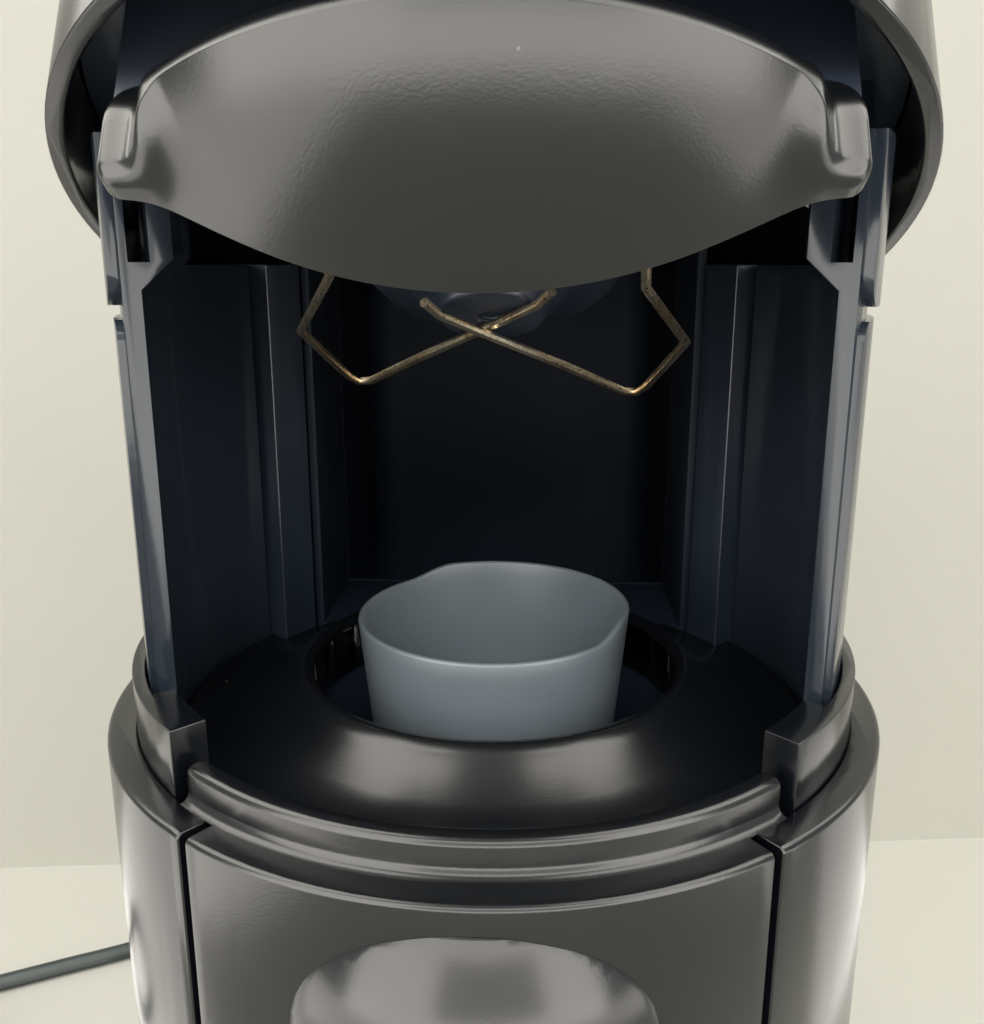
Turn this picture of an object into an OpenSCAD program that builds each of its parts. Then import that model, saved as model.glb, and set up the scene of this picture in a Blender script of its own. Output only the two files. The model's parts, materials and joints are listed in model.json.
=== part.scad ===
// Pod coffee machine with its head open, millimetres, +Z up, front towards -Y.
// The origin is on the table, straight under the axis of the brewing chamber.
// Heights inside the brewing unit are measured from its shoulder, which is shoulder_h above the table.

/* [Body] */
// Outer radius of the round body
body_r = 71; // [69:0.5:74]
// Height of the shoulder above the table
shoulder_h = 233; // [225:1:250]
// Wall of the body shells
shell_t = 2.4; // [2:0.1:2.8]
// Depth of the brewing unit below the shoulder
unit_depth = 75; // [75:1:85]
// Half angle of the satin front cover, degrees
front_half_angle = 35.6; // [33:0.2:38]
// Gap between neighbouring shells, degrees of the circle
shell_gap_angle = 1.5; // [1:0.1:2]
// Where the rear column's front wall stands, behind the chamber axis
column_front_y = 18; // [14:1:22]
// Height of the round base
base_h = 26; // [24:1:32]

/* [Deck] */
// Radius of the hole that the pod holder stands in
pod_hole_r = 34.5; // [33:0.5:36]
// Height of the step behind the front cover
step_h = 5.6; // [4:0.2:7]
// Outer radius of that step
step_r = 64.8; // [64:0.2:66]
// Width of the step's top
step_w = 3.4; // [2.6:0.2:3.6]
// Height of the raised guard ring
guard_h = 11; // [9:0.5:13]
// Outer radius of the guard ring
guard_r = 66; // [65.4:0.2:67]
// Half angle of the guard ring's front opening, degrees
guard_half_angle = 45; // [44:0.5:47]
// Inner radius of the guard ring's wide front ends
guard_end_r = 60; // [59:0.5:61]

/* [Head lift] */
// Travel of the head lift
lift_travel = 52.6; // [48:0.5:53]
// Tilt of the open head, degrees
tilt = 28.4; // [26:0.2:30]
// Height of the closed head's rim above the shoulder
closed_rim = 36.5; // [36:0.5:39]
// Head hinge: distance in front of the chamber axis
hinge_front = 10; // [8:0.5:12]
// Head hinge: height above the rim's plane
hinge_rise = 1.65; // [1:0.05:3]
// Radius of a hinge pin
hinge_pin_r = 2.5; // [2:0.1:3]
// Outer radius of the lift columns
column_r = 62.4; // [62:0.1:62.6]
// Wall of the lift columns
column_t = 2.8; // [2.4:0.1:3.2]
// Outer radius of the columns' lower skin
column_skin_r = 63.5; // [63.2:0.1:63.6]
// Half angle of the opening between the columns, degrees
column_half_angle = 60; // [59:0.5:63]
// Top of the columns' lower skin above the shoulder
column_skin_top = 70.4; // [66:0.2:73]
// Gap between the lower skin and the arm above it
arm_gap = 2.1; // [1.5:0.1:3]
// Outer radius of the arms
arm_r = 64.2; // [64:0.1:64.6]
// Width of the slot that a hinge ear turns in
ear_slot_w = 3.2; // [2.9:0.1:3.3]

/* [Head] */
// Outer radius of the head shell
head_r = 71; // [70.5:0.5:73]
// Height of the head shell above its rim
head_h = 54; // [50:1:56]
// Width of the head shell's rim
rim_w = 2.7; // [2.4:0.1:3]
// Radius of the head shell's shoulder
head_round = 28; // [20:1:32]
// Where the head shell is cut off, behind its axis
head_cut = 14; // [11:1:14]
// Radius of the chin's outer edge
chin_r = 64.5; // [63:0.5:66]
// Radius of the chin's ball-shaped underside
chin_ball_r = 80.6; // [78:0.2:83]
// Depth of the chin's outer edge below the rim
chin_edge = 10; // [8:0.5:12]
// Depth of the chin's ears below the rim
ear_depth = 17.7; // [15:0.5:18.5]
// Where the chin is cut off, in front of the axis
chin_cut = 39; // [38:0.5:42]
// Radius of the piercing hub's tip
hub_tip_r = 9; // [7:0.5:11]
// Depth of the hub's tip below the rim
hub_depth = 16.8; // [15:0.2:17]
// Diameter of an ejector wire
wire_d = 1.6; // [1.2:0.1:1.6]

/* [Pod holder] */
// Radius of the pod holder's rim
cup_r = 25.9; // [24.5:0.1:27]
// Radius of the pod holder's foot
cup_foot_r = 22; // [20:0.5:24]
// Wall of the pod holder
cup_t = 1.2; // [1:0.1:1.6]
// Height of the rim's high side above the shoulder
cup_high = 15.6; // [14:0.1:15.6]
// How much lower the rim's low side is
cup_ramp = 2; // [1:0.1:3]
// Depth of the pod holder's floor below the shoulder
cup_floor = 26; // [22:1:28]
// Radius of the spindle
spindle_r = 6; // [5:0.5:8]
// Radius of the pulley on the spindle
big_pulley_r = 18; // [16:0.5:20]
// Radius of the motor's pulley
small_pulley_r = 6; // [5:0.5:8]

/* [Spout] */
// Radius of the spout cover
nose_r = 32.6; // [31:0.2:34]
// How far the spout cover stands out of the round body
nose_reach = 7.6; // [6:0.2:11]
// Depth below the shoulder at which the spout cover's dome meets the body
nose_top = 4.2; // [2:0.2:8]
// Radius of the spout cover's domed top
nose_round = 28; // [22:1:29]
// Bore of the coffee spout
spout_bore_r = 3.5; // [2.5:0.5:5]

/* [Used pod bin] */
// Width of the used pod bin
bin_w = 92; // [91:1:110]
// Depth of the used pod bin, front to back
bin_d = 66; // [60:1:80]
// Wall of the used pod bin
bin_t = 1.8; // [1.4:0.1:2.4]
// Width inside the chute that leads to the bin
chute_w = 84; // [80:1:84]

/* [Water tank] */
// Width of the water tank
tank_w = 112; // [90:1:130]
// Depth of the water tank, front to back
tank_d = 60; // [56:1:90]
// Height of the water tank
tank_h = 232; // [200:1:260]
// Wall of the water tank
tank_t = 2.4; // [2:0.1:3]
// Radius of the tank's rear corners
tank_round = 22; // [12:1:28]
// Radius of the lid's hinge pin
lid_pin_r = 1.2; // [1:0.1:1.3]

/* [Drip tray] */
// Half width of the drip tray
tray_half_w = 46; // [40:1:50]
// Wall of the drip tray
tray_t = 2; // [1.6:0.1:2.6]
// Thickness of the drip grid
grid_t = 2.4; // [2:0.1:3]

/* [Controls] */
// Radius of the start button
button_r = 12; // [9:0.5:14]
// Travel of the start button
button_travel = 1.5; // [1:0.1:2]
// Width of the opening lever
lever_w = 36; // [26:1:44]

/* [Mains cord] */
// Diameter of the mains cord
cord_d = 6.8; // [6:0.1:7]
// Turns of cord that lie on top of each other in the coil
coil_turns = 2; // [2:1:3]
// Radius of the coil at the middle of its turns
coil_mid_r = 38; // [34:1:40]
// Width of the plug
plug_w = 35; // [30:1:40]
// Thickness of the plug
plug_t = 14; // [13:0.5:16]
// Length of the plug's body
plug_l = 34; // [28:1:40]

/* [Hidden] */
$fn = 96;

fit = 0.05;                // radial clearance of a running pin or shaft
seat = 0.3;                // gap between pieces that stand next to each other
cut = 1;                   // how far a cutting body reaches past the piece it cuts

// Body
shell_in = body_r - shell_t;
side_start = front_half_angle + shell_gap_angle;
rear_start = acos(-column_front_y / body_r);
foot_h = 1.5;
pad_r = 58;
plate_t = 3;
plate_top = foot_h + plate_t;
floor_t = 3;
floor_bottom = -unit_depth;
floor_top = floor_bottom + floor_t;
lip_t = 2.4;               // thickness of the shells' flat top
column_wall_t = 2.4;

// The tank stands behind the body on the base's tail
bin_y = body_r + 1;
tank_front_y = bin_y + bin_d + 2;
tank_back_y = tank_front_y + tank_d;
tail_margin = 2;
tail_back_y = tank_back_y + tail_margin;
tail_half_w = tank_w / 2 + tail_margin;
tail_foot_x = tail_half_w - 16;
tail_foot_y = tail_back_y - 16;
tail_foot_r = 7;
tank_z = base_h + seat;

// Head: the hinge stands here above the shoulder while the head is open
hinge_open = closed_rim + hinge_rise + lift_travel;
ball_centre = sqrt(pow(chin_ball_r, 2) - pow(chin_r - 0.5, 2)) - chin_edge;
frame_z = 16;              // head frame above the rim
frame_t = 3;
ear_r = 7;
ear_clear = 0.35;

// Lift columns
column_in = column_r - column_t;
column_end_angle = 119;
column_bottom = -12;
column_tall = 78;          // height of a column's rear part
arm_top = hinge_open + 6.25;
arm_bottom = column_skin_top + arm_gap;
arm_end_angle = 96;
pocket_bottom = hinge_open - 11.8;
block_in = 54.6;           // inner radius of the block that holds a hinge pin
block_bottom = pocket_bottom - 4.5;
slot_x = 57.2;
slot_out = 61.2;          // outer radius of the slot seen from the front
slot_front = 8.6;          // how far the slot reaches in front of the hinge
slot_rear = 13;            // and behind it
yoke_t = 5;
yoke_bottom = column_bottom - yoke_t;

// Rack and pinion of the lift
gear_module = 1;
pinion_teeth = 12;
pinion_r = gear_module * pinion_teeth / 2;
gear_w = 8;
rack_face = 60.6;          // the rack's pitch plane, behind the axis
rack_back = 63.2;
pinion_z = floor_bottom - 9;
rack_bottom = pinion_z - 9;
pinion_y = rack_face - pinion_r;
backlash = 0.16;           // taken off each flank

// Drive of the pod holder
belt_z = -56;
belt_h = 6;
belt_t = 1.4;
motor_at = [33, -16];
motor_r = 17;

// Rear hood and bin
hood_r = head_r - 0.5;
hood_t = 2.4;
hood_y = 24;
hood_top = closed_rim + head_h + 2;
hood_round = 10;
bin_z = base_h + seat;
bin_top = shoulder_h + hood_top;
handle_t = 5;
bin_round = 12;

// Chute between the deck and the bin
chute_t = 2;
chute_out_w = chute_w + 2 * chute_t;
chute_floor = -7;
chute_top = hood_top - 6;
chute_y = 40;

// Cord: route on the table from behind the tail to the coil, left of the machine
cord_r = cord_d / 2;
exit_x = -20;
exit_z = 13;
relief_l = 26;
cord_start = [exit_x, tail_back_y + relief_l + seat];
cord_route = [[0, 0, exit_z], [0, 12, exit_z - 1], [-5, 26, 9], [-17, 36, cord_r + 1], [-36, 39, cord_r],
    [-58, 34, cord_r], [-82, 21, cord_r], [-106, 4, cord_r], [-130, -12, cord_r], [-155, -27, cord_r],
    [-180, -39, cord_r], [-205, -51, cord_r], [-230, -62, cord_r], [-253, -73, cord_r]];
coil_at = [-234, -114];     // centre of the coil, from the cord's start
tail_y = -coil_mid_r - cord_d - 0.5;
tail_route = [[-4, tail_y, cord_r], [14, tail_y - 1.3, cord_r], [28, tail_y - 2.3, cord_r + 0.9],
    [40, tail_y - 2.9, plug_t / 2 - 0.9], [50, tail_y - 3.1, plug_t / 2], [60, tail_y - 3.1, plug_t / 2]];

// Angles in plan run from the front, positive to the right as seen from the front
module sector(r_in, r_out, from_a, to_a, z_low, z_high) {
    rotate([0, 0, from_a - 90])
        rotate_extrude(angle = to_a - from_a)
            translate([r_in, z_low])
                square([r_out - r_in, z_high - z_low]);
}

module swept(from_a, to_a, points) {
    rotate([0, 0, from_a - 90])
        rotate_extrude(angle = to_a - from_a)
            polygon(points);
}

module ring(r_in, r_out, z_low, z_high) {
    difference() {
        translate([0, 0, z_low]) cylinder(r = r_out, h = z_high - z_low);
        translate([0, 0, z_low - cut]) cylinder(r = r_in, h = z_high - z_low + 2 * cut);
    }
}

module on_shoulder() {
    translate([0, 0, shoulder_h]) children();
}

module in_head() {
    on_shoulder()
        translate([0, -hinge_front, hinge_open])
            rotate([-tilt, 0, 0])
                translate([0, hinge_front, -hinge_rise])
                    children();
}

// Points of an arc, angles in degrees
function arc(cx, cy, r, from_a, to_a, steps = 8) =
    [for (i = [0 : steps]) [cx + r * cos(from_a + (to_a - from_a) * i / steps),
                            cy + r * sin(from_a + (to_a - from_a) * i / steps)]];

// Plan of the base: the round body with a tail for the tank
module base_plan(inset = 0) {
    circle(r = body_r - inset);
    translate([-tail_half_w + inset, 0])
        square([2 * (tail_half_w - inset), tail_back_y - tank_round - tail_margin]);
    translate([-tail_half_w + tank_round, 0])
        square([2 * (tail_half_w - tank_round), tail_back_y - inset]);
    for (side = [-1, 1])
        translate([side * (tail_half_w - tank_round), tail_back_y - tank_round])
            circle(r = tank_round - inset);
}

module rubber_feet() {
    color("#202224") {
        cylinder(r = pad_r, h = foot_h);
        for (side = [-1, 1])
            translate([side * tail_foot_x, tail_foot_y, 0])
                cylinder(r = tail_foot_r, h = foot_h);
    }
}

module base_plate() {
    color("#26282a")
        translate([0, 0, foot_h])
            linear_extrude(height = plate_t)
                base_plan();
}

// The tray slides in a pocket that is open towards the front
tray_back_y = column_front_y - 4;
tray_bottom = plate_top + seat;
tray_top = base_h - grid_t;

module base_shell() {
    color("#1b1d20") {
        difference() {
            translate([0, 0, plate_top])
                linear_extrude(height = base_h - plate_top)
                    base_plan();
            translate([0, 0, plate_top - cut])
                linear_extrude(height = base_h - plate_top - shell_t + cut)
                    difference() {
                        base_plan(shell_t);
                        translate([-tray_half_w - seat - shell_t, -body_r])
                            square([2 * (tray_half_w + seat + shell_t), body_r + tray_back_y + seat + shell_t]);
                    }
            translate([-tray_half_w - seat, -body_r - cut, plate_top - cut])
                cube([2 * (tray_half_w + seat), body_r + cut + tray_back_y + seat, base_h]);
            translate([0, tank_front_y + tank_d / 2, base_h - shell_t - cut])
                cylinder(r = valve_r + seat, h = shell_t + 2 * cut);
            translate([exit_x, tail_back_y - shell_t - cut, exit_z])
                rotate([-90, 0, 0])
                    cylinder(r = relief_neck_r, h = shell_t + 2 * cut);
        }
    }
}

module tray_plan(inset = 0) {
    intersection() {
        circle(r = body_r - inset);
        translate([-tray_half_w + inset, -body_r])
            square([2 * (tray_half_w - inset), body_r + tray_back_y - inset]);
    }
}

module drip_tray() {
    color("#1e2023")
        difference() {
            translate([0, 0, tray_bottom])
                linear_extrude(height = tray_top - tray_bottom)
                    tray_plan();
            translate([0, 0, tray_bottom + tray_t])
                linear_extrude(height = tray_top)
                    tray_plan(tray_t);
        }
}

module drip_grid() {
    slot_count = 9;
    slot_pitch = 8;
    slot_w = 4;
    color("#2b2d30")
        difference() {
            translate([0, 0, tray_top])
                linear_extrude(height = grid_t)
                    tray_plan();
            for (i = [0 : slot_count - 1])
                translate([(i - (slot_count - 1) / 2) * slot_pitch - slot_w / 2, -52, tray_top - cut])
                    cube([slot_w, 56, grid_t + 2 * cut]);
        }
}

module column_front() {
    half_w = sqrt(pow(shell_in, 2) - pow(column_front_y + column_wall_t, 2)) - seat;
    color("#191b1e")
        translate([-half_w, column_front_y, base_h])
            cube([2 * half_w, column_wall_t, shoulder_h - unit_depth - base_h]);
}

// A shell with a flat top lip and a small rounded edge
function shell_profile(z_low, lip_in) = concat(
    [[shell_in, z_low], [body_r, z_low]],
    arc(body_r - edge_round, -edge_round, edge_round, 0, 90, 4),
    [[lip_in, 0], [lip_in, -lip_t], [shell_in, -lip_t]]);
edge_round = 0.9;

module rear_shell() {
    color("#15171a") on_shoulder()
        difference() {
            swept(rear_start, 360 - rear_start, shell_profile(base_h - shoulder_h, guard_r));
            chute_space();
        }
}

module side_shell(side) {
    from_a = side > 0 ? side_start : 360 - rear_start + shell_gap_angle / 4;
    to_a = side > 0 ? rear_start - shell_gap_angle / 4 : 360 - side_start;
    color("#17191c") on_shoulder()
        swept(from_a, to_a, shell_profile(floor_bottom, guard_r));
}

module side_shell_left() {
    side_shell(-1);
}

module side_shell_right() {
    side_shell(1);
}

// Satin cover: front wall, flat shoulder and the step behind it
step_angle = guard_half_angle - 2;
step_in = step_r - step_w;

module front_cover() {
    step_round = 1.2;
    root_round = 1.6;
    color("#2e3236") on_shoulder()
        difference() {
            union() {
                swept(-front_half_angle, front_half_angle, shell_profile(floor_bottom, step_in + 0.6));
                swept(-step_angle, step_angle, concat(
                    [[step_in, -lip_t - 0.6], [step_r + 0.2, -lip_t - 0.6], [step_r + 0.2, 0], [step_r + root_round, 0]],
                    arc(step_r + root_round, root_round, root_round, 270, 180, 4),
                    arc(step_r - step_round, step_h - step_round, step_round, 0, 90, 4),
                    arc(step_in + step_round / 2, step_h - step_round / 2, step_round / 2, 90, 180, 3)));
            }
            // opening behind the spout cover
            translate([-nose_opening_w / 2, -body_r - cut, floor_bottom - cut])
                cube([nose_opening_w, shell_t * 4, nose_opening_h + cut]);
        }
}
nose_opening_w = 24;
nose_opening_h = 46;

// The spout cover is a hollow round nose that grows out of the front cover
nose_y = nose_r - nose_reach - body_r;
nose_t = 2;
nose_meet = body_r + nose_y;   // from the cover's own axis to the front of the body
nose_crown = nose_round - sqrt(pow(nose_round, 2) - pow(nose_meet - nose_r + nose_round, 2)) - nose_top;

function nose_profile(r, z_top, round_r) = concat(
    [[0, floor_bottom - 4], [r, floor_bottom - 4]],
    arc(r - round_r, z_top - round_r, round_r, 0, 90, 15),
    [[0, z_top]]);

module spout_cover() {
    color("#8b8d86") on_shoulder()
        difference() {
            translate([0, nose_y, 0])
                rotate_extrude()
                    polygon(nose_profile(nose_r, nose_crown, nose_round));
            translate([0, nose_y, 0])
                translate([0, 0, -nose_t])
                    rotate_extrude()
                        polygon(nose_profile(nose_r - nose_t, nose_crown, nose_round - nose_t));
            translate([0, 0, floor_bottom - 10])
                cylinder(r = body_r, h = unit_depth + 20);
        }
}

spout_y = -body_r + 5;

module coffee_spout() {
    spout_low = floor_bottom - 11;
    spout_high = floor_top + 9;
    color("#3a3d40") on_shoulder()
        difference() {
            union() {
                translate([0, spout_y, spout_low]) cylinder(r1 = spout_bore_r + 1.6, r2 = spout_bore_r + 3, h = 8);
                translate([0, spout_y, spout_low + 8])
                    cylinder(r = spout_bore_r + 3, h = spout_high - spout_low - 8);
            }
            translate([0, spout_y, spout_low - cut]) cylinder(r = spout_bore_r, h = spout_high - spout_low + 2 * cut);
        }
}

// A sloping channel carries the coffee from the collector bowl down to the spout
module coffee_duct() {
    duct_w = 2 * spout_bore_r + 2;
    wall = 1.8;
    spout_high = floor_top + 9;
    back_y = -bowl_r - seat;
    front_y = spout_y - spout_bore_r - 3;
    high = bowl_bottom + 10;
    color("#2a2d30") on_shoulder()
        difference() {
            translate([-duct_w / 2 - wall, 0, 0])
                rotate([90, 0, 90])
                    linear_extrude(height = duct_w + 2 * wall)
                        polygon([[back_y, bowl_bottom - wall], [back_y, high], [front_y, spout_high + 12],
                                 [front_y, spout_high], [spout_y + spout_bore_r + 3, spout_high]]);
            translate([-duct_w / 2, 0, 0])
                rotate([90, 0, 90])
                    linear_extrude(height = duct_w)
                        polygon([[back_y + cut, bowl_bottom], [back_y + cut, high - wall],
                                 [front_y + wall, spout_high + 12 - wall], [front_y + wall, spout_high + wall],
                                 [spout_y + spout_bore_r + 3, spout_high + wall]]);
            translate([0, spout_y, spout_high - cut])
                cylinder(r = spout_bore_r, h = wall + 2 * cut);
        }
}

// Space that the chute takes up in the shells around it
module chute_space() {
    translate([-chute_out_w / 2 - seat, 0, chute_floor - seat])
        cube([chute_out_w + 2 * seat, 2 * body_r, chute_top - chute_floor + 2 * seat]);
}

module unit_floor() {
    color("#1a1c1f") on_shoulder()
        difference() {
            translate([0, 0, floor_bottom]) cylinder(r = shell_in - seat, h = floor_t);
            // spout
            translate([0, spout_y, floor_bottom - cut])
                cylinder(r = spout_bore_r + 3 + seat, h = floor_t + 2 * cut);
            // rack of the lift
            translate([-gear_w / 2 - 1.5, rack_face - 3.5, floor_bottom - cut])
                cube([gear_w + 3, rack_back - rack_face + 5, floor_t + 2 * cut]);
        }
}

// Fixed frame inside the shells: outer guide of the lift, and two rear posts beside the bin
guide_in = column_skin_r + 0.4;
post_start = column_end_angle + 1;
post_end = 129.4;
post_in = 55.5;
post_out = column_r - 1.4;

module guide_frame() {
    color("#232528") on_shoulder() {
        difference() {
            sector(guide_in, guard_r, column_half_angle, 360 - column_half_angle, floor_top, -lip_t - 0.6);
            chute_space();
        }
        for (side = [0, 1])
            mirror([side, 0, 0]) {
                sector(post_in, post_out, post_start, post_end, column_bottom + 2, column_tall);
                sector(post_in + 2, guide_in + 0.4, post_start, post_start + 4, column_bottom + 2, -lip_t - 0.6);
            }
    }
}

// Glossy guard ring round the open chamber, with wide rounded front ends
guard_in = column_skin_r + seat;

module guard_ring() {
    end_a = guard_half_angle + 13;
    top_t = 3;
    color("#121417") on_shoulder()
        difference() {
            union() {
                sector(guard_in, guard_r, guard_half_angle, 360 - guard_half_angle, -lip_t - 0.6, guard_h);
                for (side = [0, 1])
                    mirror([side, 0, 0]) {
                        sector(guard_end_r, guard_r, guard_half_angle, end_a, guard_h - top_t, guard_h);
                        sector(guard_end_r, guard_r, guard_half_angle, guard_half_angle + 2.4, -lip_t - 0.6, guard_h);
                        sector(guard_end_r, guard_end_r + 2, guard_half_angle, end_a, -lip_t, guard_h);
                    }
            }
            chute_space();
        }
}

// Satin deck: a raised collar round the pod hole that falls into a shallow trough
trough_z = -4;
deck_in_z = 3.8;
deck_front_r = step_in - 0.2;
deck_side_r = column_in - 1.2;

function deck_profile(r_out) = concat(
    [[pod_hole_r, -deck_t_low], [pod_hole_r, deck_in_z]],
    arc(pod_hole_r + 2, deck_in_z - 0.8, 2, 180, 60, 5),
    [[pod_hole_r + 5.5, 2.4], [pod_hole_r + 8, 0.6], [pod_hole_r + 10.5, -1.1], [pod_hole_r + 13.5, -2.7],
     [pod_hole_r + 17, -3.7], [pod_hole_r + 20.5, trough_z], [r_out - 2.5, -3.2], [r_out - 1, -1.6],
     [r_out - 0.3, 0.6], [r_out, 3.2], [r_out, -deck_t_low]]);
deck_t_low = 6;

module deck_dish() {
    color("#2c3034") on_shoulder()
        difference() {
            rotate_extrude() polygon(deck_profile(deck_front_r));
            sector(deck_side_r, body_r, step_angle, 360 - step_angle, -20, 20);
            // the chute begins behind the deck
            translate([-chute_out_w / 2 - seat, chute_y - seat, -20])
                cube([chute_out_w + 2 * seat, body_r, 40]);
            // room for the rear posts
            sector(post_in - seat, body_r, post_start - 1, 361 - post_start, -20, 20);
        }
}

// Bowl that collects the coffee thrown off the turning pod
bowl_r = 37.4;
bowl_t = 2;
bowl_bottom = -45;
post_r = 4;

module collector_bowl() {
    color("#303337") on_shoulder()
        difference() {
            union() {
                ring(bowl_r - bowl_t, bowl_r, bowl_bottom, -deck_t_low);
                ring(bearing_r, bowl_r - 0.5, bowl_bottom, bowl_bottom + bowl_t);
                ring(bearing_r, bearing_r + 2, bowl_bottom + 0.5, bowl_bottom + bearing_h);
                for (a = [0, 120, 240])
                    rotate([0, 0, a - 90])
                        translate([bowl_r - post_r - 1, 0, floor_top])
                            cylinder(r = post_r, h = bowl_bottom - floor_top + 1);
            }
            // outlet to the duct
            translate([-spout_bore_r, -bowl_r - cut, bowl_bottom + bowl_t])
                cube([2 * spout_bore_r, bowl_t + 2 * cut + 1, 5]);
        }
}

bearing_r = spindle_r + 5;
bearing_h = 7;

module holder_bearing() {
    color("#9a9da0") on_shoulder()
        ring(spindle_r + fit, bearing_r, bowl_bottom, bowl_bottom + bearing_h);
}

// Grey pod holder: a thin cup whose rim climbs by a ramp at each end of its high side
module pod_holder() {
    low = cup_high - cup_ramp;
    ramp_l = 9;
    ramp_from = 1;
    high_at = 137;
    color("#6c7478") on_shoulder()
        difference() {
            rotate_extrude()
                polygon(concat(
                    [[0, -cup_floor - 2], [cup_foot_r - 3, -cup_floor - 2], [cup_foot_r, -cup_floor + 1]],
                    [[cup_r, cup_high], [cup_r - cup_t, cup_high], [cup_foot_r - cup_t, -cup_floor + 2],
                     [cup_foot_r - 4, -cup_floor], [0, -cup_floor]]));
            // low side of the rim, with a ramp up to the high side
            rotate([0, 0, high_at])
                translate([-2 * cup_r, 0, 0])
                    rotate([90, 0, 90])
                        linear_extrude(height = 4 * cup_r)
                            polygon([[2 * cup_r, low], [-ramp_from, low],
                                     [-ramp_from - 2 * ramp_l, low + 2 * cup_ramp],
                                     [2 * cup_r, low + 2 * cup_ramp]]);
        }
}

module holder_spindle() {
    flange_z = -cup_floor - 2;
    color("#b9bcbe") on_shoulder() {
        translate([0, 0, flange_z - 3]) cylinder(r = spindle_r + 5, h = 3);
        translate([0, 0, belt_z - 4]) cylinder(r = spindle_r, h = flange_z - 3 - belt_z + 4);
        difference() {
            union() {
                translate([0, 0, belt_z - 1]) cylinder(r = big_pulley_r, h = belt_h + 2);
                translate([0, 0, belt_z - 2]) cylinder(r = big_pulley_r + 1.2, h = 1);
            }
            for (a = [0 : 60 : 300])
                rotate([0, 0, a]) translate([(spindle_r + big_pulley_r) / 2 + 0.5, 0, belt_z - 3])
                    cylinder(r = 3, h = belt_h + 4);
        }
    }
}

// Band of tangents round two circles, as an outline
module belt_plan(extra) {
    d = norm(motor_at);
    swing = atan2(motor_at[1], motor_at[0]);
    big = big_pulley_r + extra;
    small = small_pulley_r + extra;
    lean = acos((big - small) / d);
    circle(r = big);
    translate(motor_at) circle(r = small);
    polygon([[big * cos(swing + lean), big * sin(swing + lean)],
             [big * cos(swing - lean), big * sin(swing - lean)],
             motor_at + [small * cos(swing - lean), small * sin(swing - lean)],
             motor_at + [small * cos(swing + lean), small * sin(swing + lean)]]);
}

module drive_belt() {
    color("#1c1c1c") on_shoulder()
        translate([0, 0, belt_z])
            linear_extrude(height = belt_h)
                difference() {
                    belt_plan(seat + belt_t);
                    belt_plan(seat);
                }
}

module motor_pulley() {
    shaft_r = 2;
    color("#c4c6c8") on_shoulder()
        translate([motor_at[0], motor_at[1], 0]) {
            translate([0, 0, belt_z - 0.6]) cylinder(r = small_pulley_r, h = belt_h + 1.2);
            translate([0, 0, motor_top - 5]) cylinder(r = shaft_r, h = belt_z - motor_top + 5);
        }
}
motor_top = belt_z - 2.4;

module spin_motor() {
    shaft_r = 2;
    color("#8f9296") on_shoulder()
        difference() {
            translate([motor_at[0], motor_at[1], floor_top])
                cylinder(r = motor_r, h = motor_top - floor_top);
            translate([motor_at[0], motor_at[1], motor_top - 6])
                cylinder(r = shaft_r + fit, h = 6 + cut);
        }
}

// One side of the lift: wall, lower skin, and at the top the block that holds a hinge pin
module lift_column(side) {
    round_r = 3;
    skin_start = column_half_angle + 1.5;
    color("#14161a") on_shoulder()
        mirror([side < 0 ? 1 : 0, 0, 0])
            difference() {
                union() {
                    sector(column_in, column_r, column_half_angle, column_end_angle, column_bottom, column_tall);
                    difference() {
                        sector(column_r - 0.2, column_skin_r, skin_start, column_end_angle - 1,
                            column_bottom + 1, column_skin_top);
                        corner_cut(skin_start, column_skin_top - round_r, round_r, 1, 1);
                    }
                    // block with a slanted foot
                    swept(column_half_angle, 92, [[block_in, block_bottom + 5], [column_in + 0.5, block_bottom],
                        [column_r, block_bottom], [column_r, arm_top], [block_in, arm_top]]);
                }
                // slot that a hinge ear turns in, open to the front and above
                sector(slot_out - ear_slot_w, slot_out, column_half_angle - 5, 76, pocket_bottom, arm_top + cut);
                translate([slot_x, -hinge_front - slot_front, pocket_bottom])
                    cube([ear_slot_w, slot_front + slot_rear, arm_top]);
                // bore of the hinge pin
                translate([block_in - 6, -hinge_front, hinge_open])
                    rotate([0, 90, 0])
                        cylinder(r = hinge_pin_r, h = 20);
            }
}

// Takes the square corner off a skin: at azimuth a and height z, upwards or downwards, to its front or rear
module corner_cut(a, z, round_r, up, rearward) {
    rotate([0, 0, a])
        translate([0, 0, z])
            scale([rearward, 1, up])
                rotate([90, 0, 0])
                    linear_extrude(height = 2 * body_r)
                        difference() {
                            translate([-cut, 0]) square([round_r + cut, round_r + cut]);
                            translate([round_r, 0]) circle(r = round_r);
                        }
}

module lift_column_left() {
    lift_column(-1);
}

module lift_column_right() {
    lift_column(1);
}

// Outer skin beside the hinge, with a rounded lower front corner
module head_arm(side) {
    round_r = 5;
    from_a = column_half_angle + 0.6;
    color("#1c1e22") on_shoulder()
        mirror([side < 0 ? 1 : 0, 0, 0])
            difference() {
                sector(column_r, arm_r, from_a, arm_end_angle, arm_bottom, arm_top);
                corner_cut(from_a, arm_bottom + round_r, round_r, -1, 1);
                corner_cut(arm_end_angle, arm_bottom + round_r, round_r, -1, -1);
                translate([slot_x, -hinge_front - slot_front, pocket_bottom])
                    cube([ear_slot_w, slot_front + slot_rear, arm_top]);
                translate([block_in, -hinge_front, hinge_open])
                    rotate([0, 90, 0])
                        cylinder(r = hinge_pin_r, h = pin_end - block_in);
            }
}
pin_end = 62.6;

module head_arm_left() {
    head_arm(-1);
}

module head_arm_right() {
    head_arm(1);
}

// C-shaped carrier under both columns
module lift_yoke() {
    color("#2a2c2f") on_shoulder()
        sector(column_in, column_skin_r, column_half_angle, 360 - column_half_angle, yoke_bottom, column_bottom);
}

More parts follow.
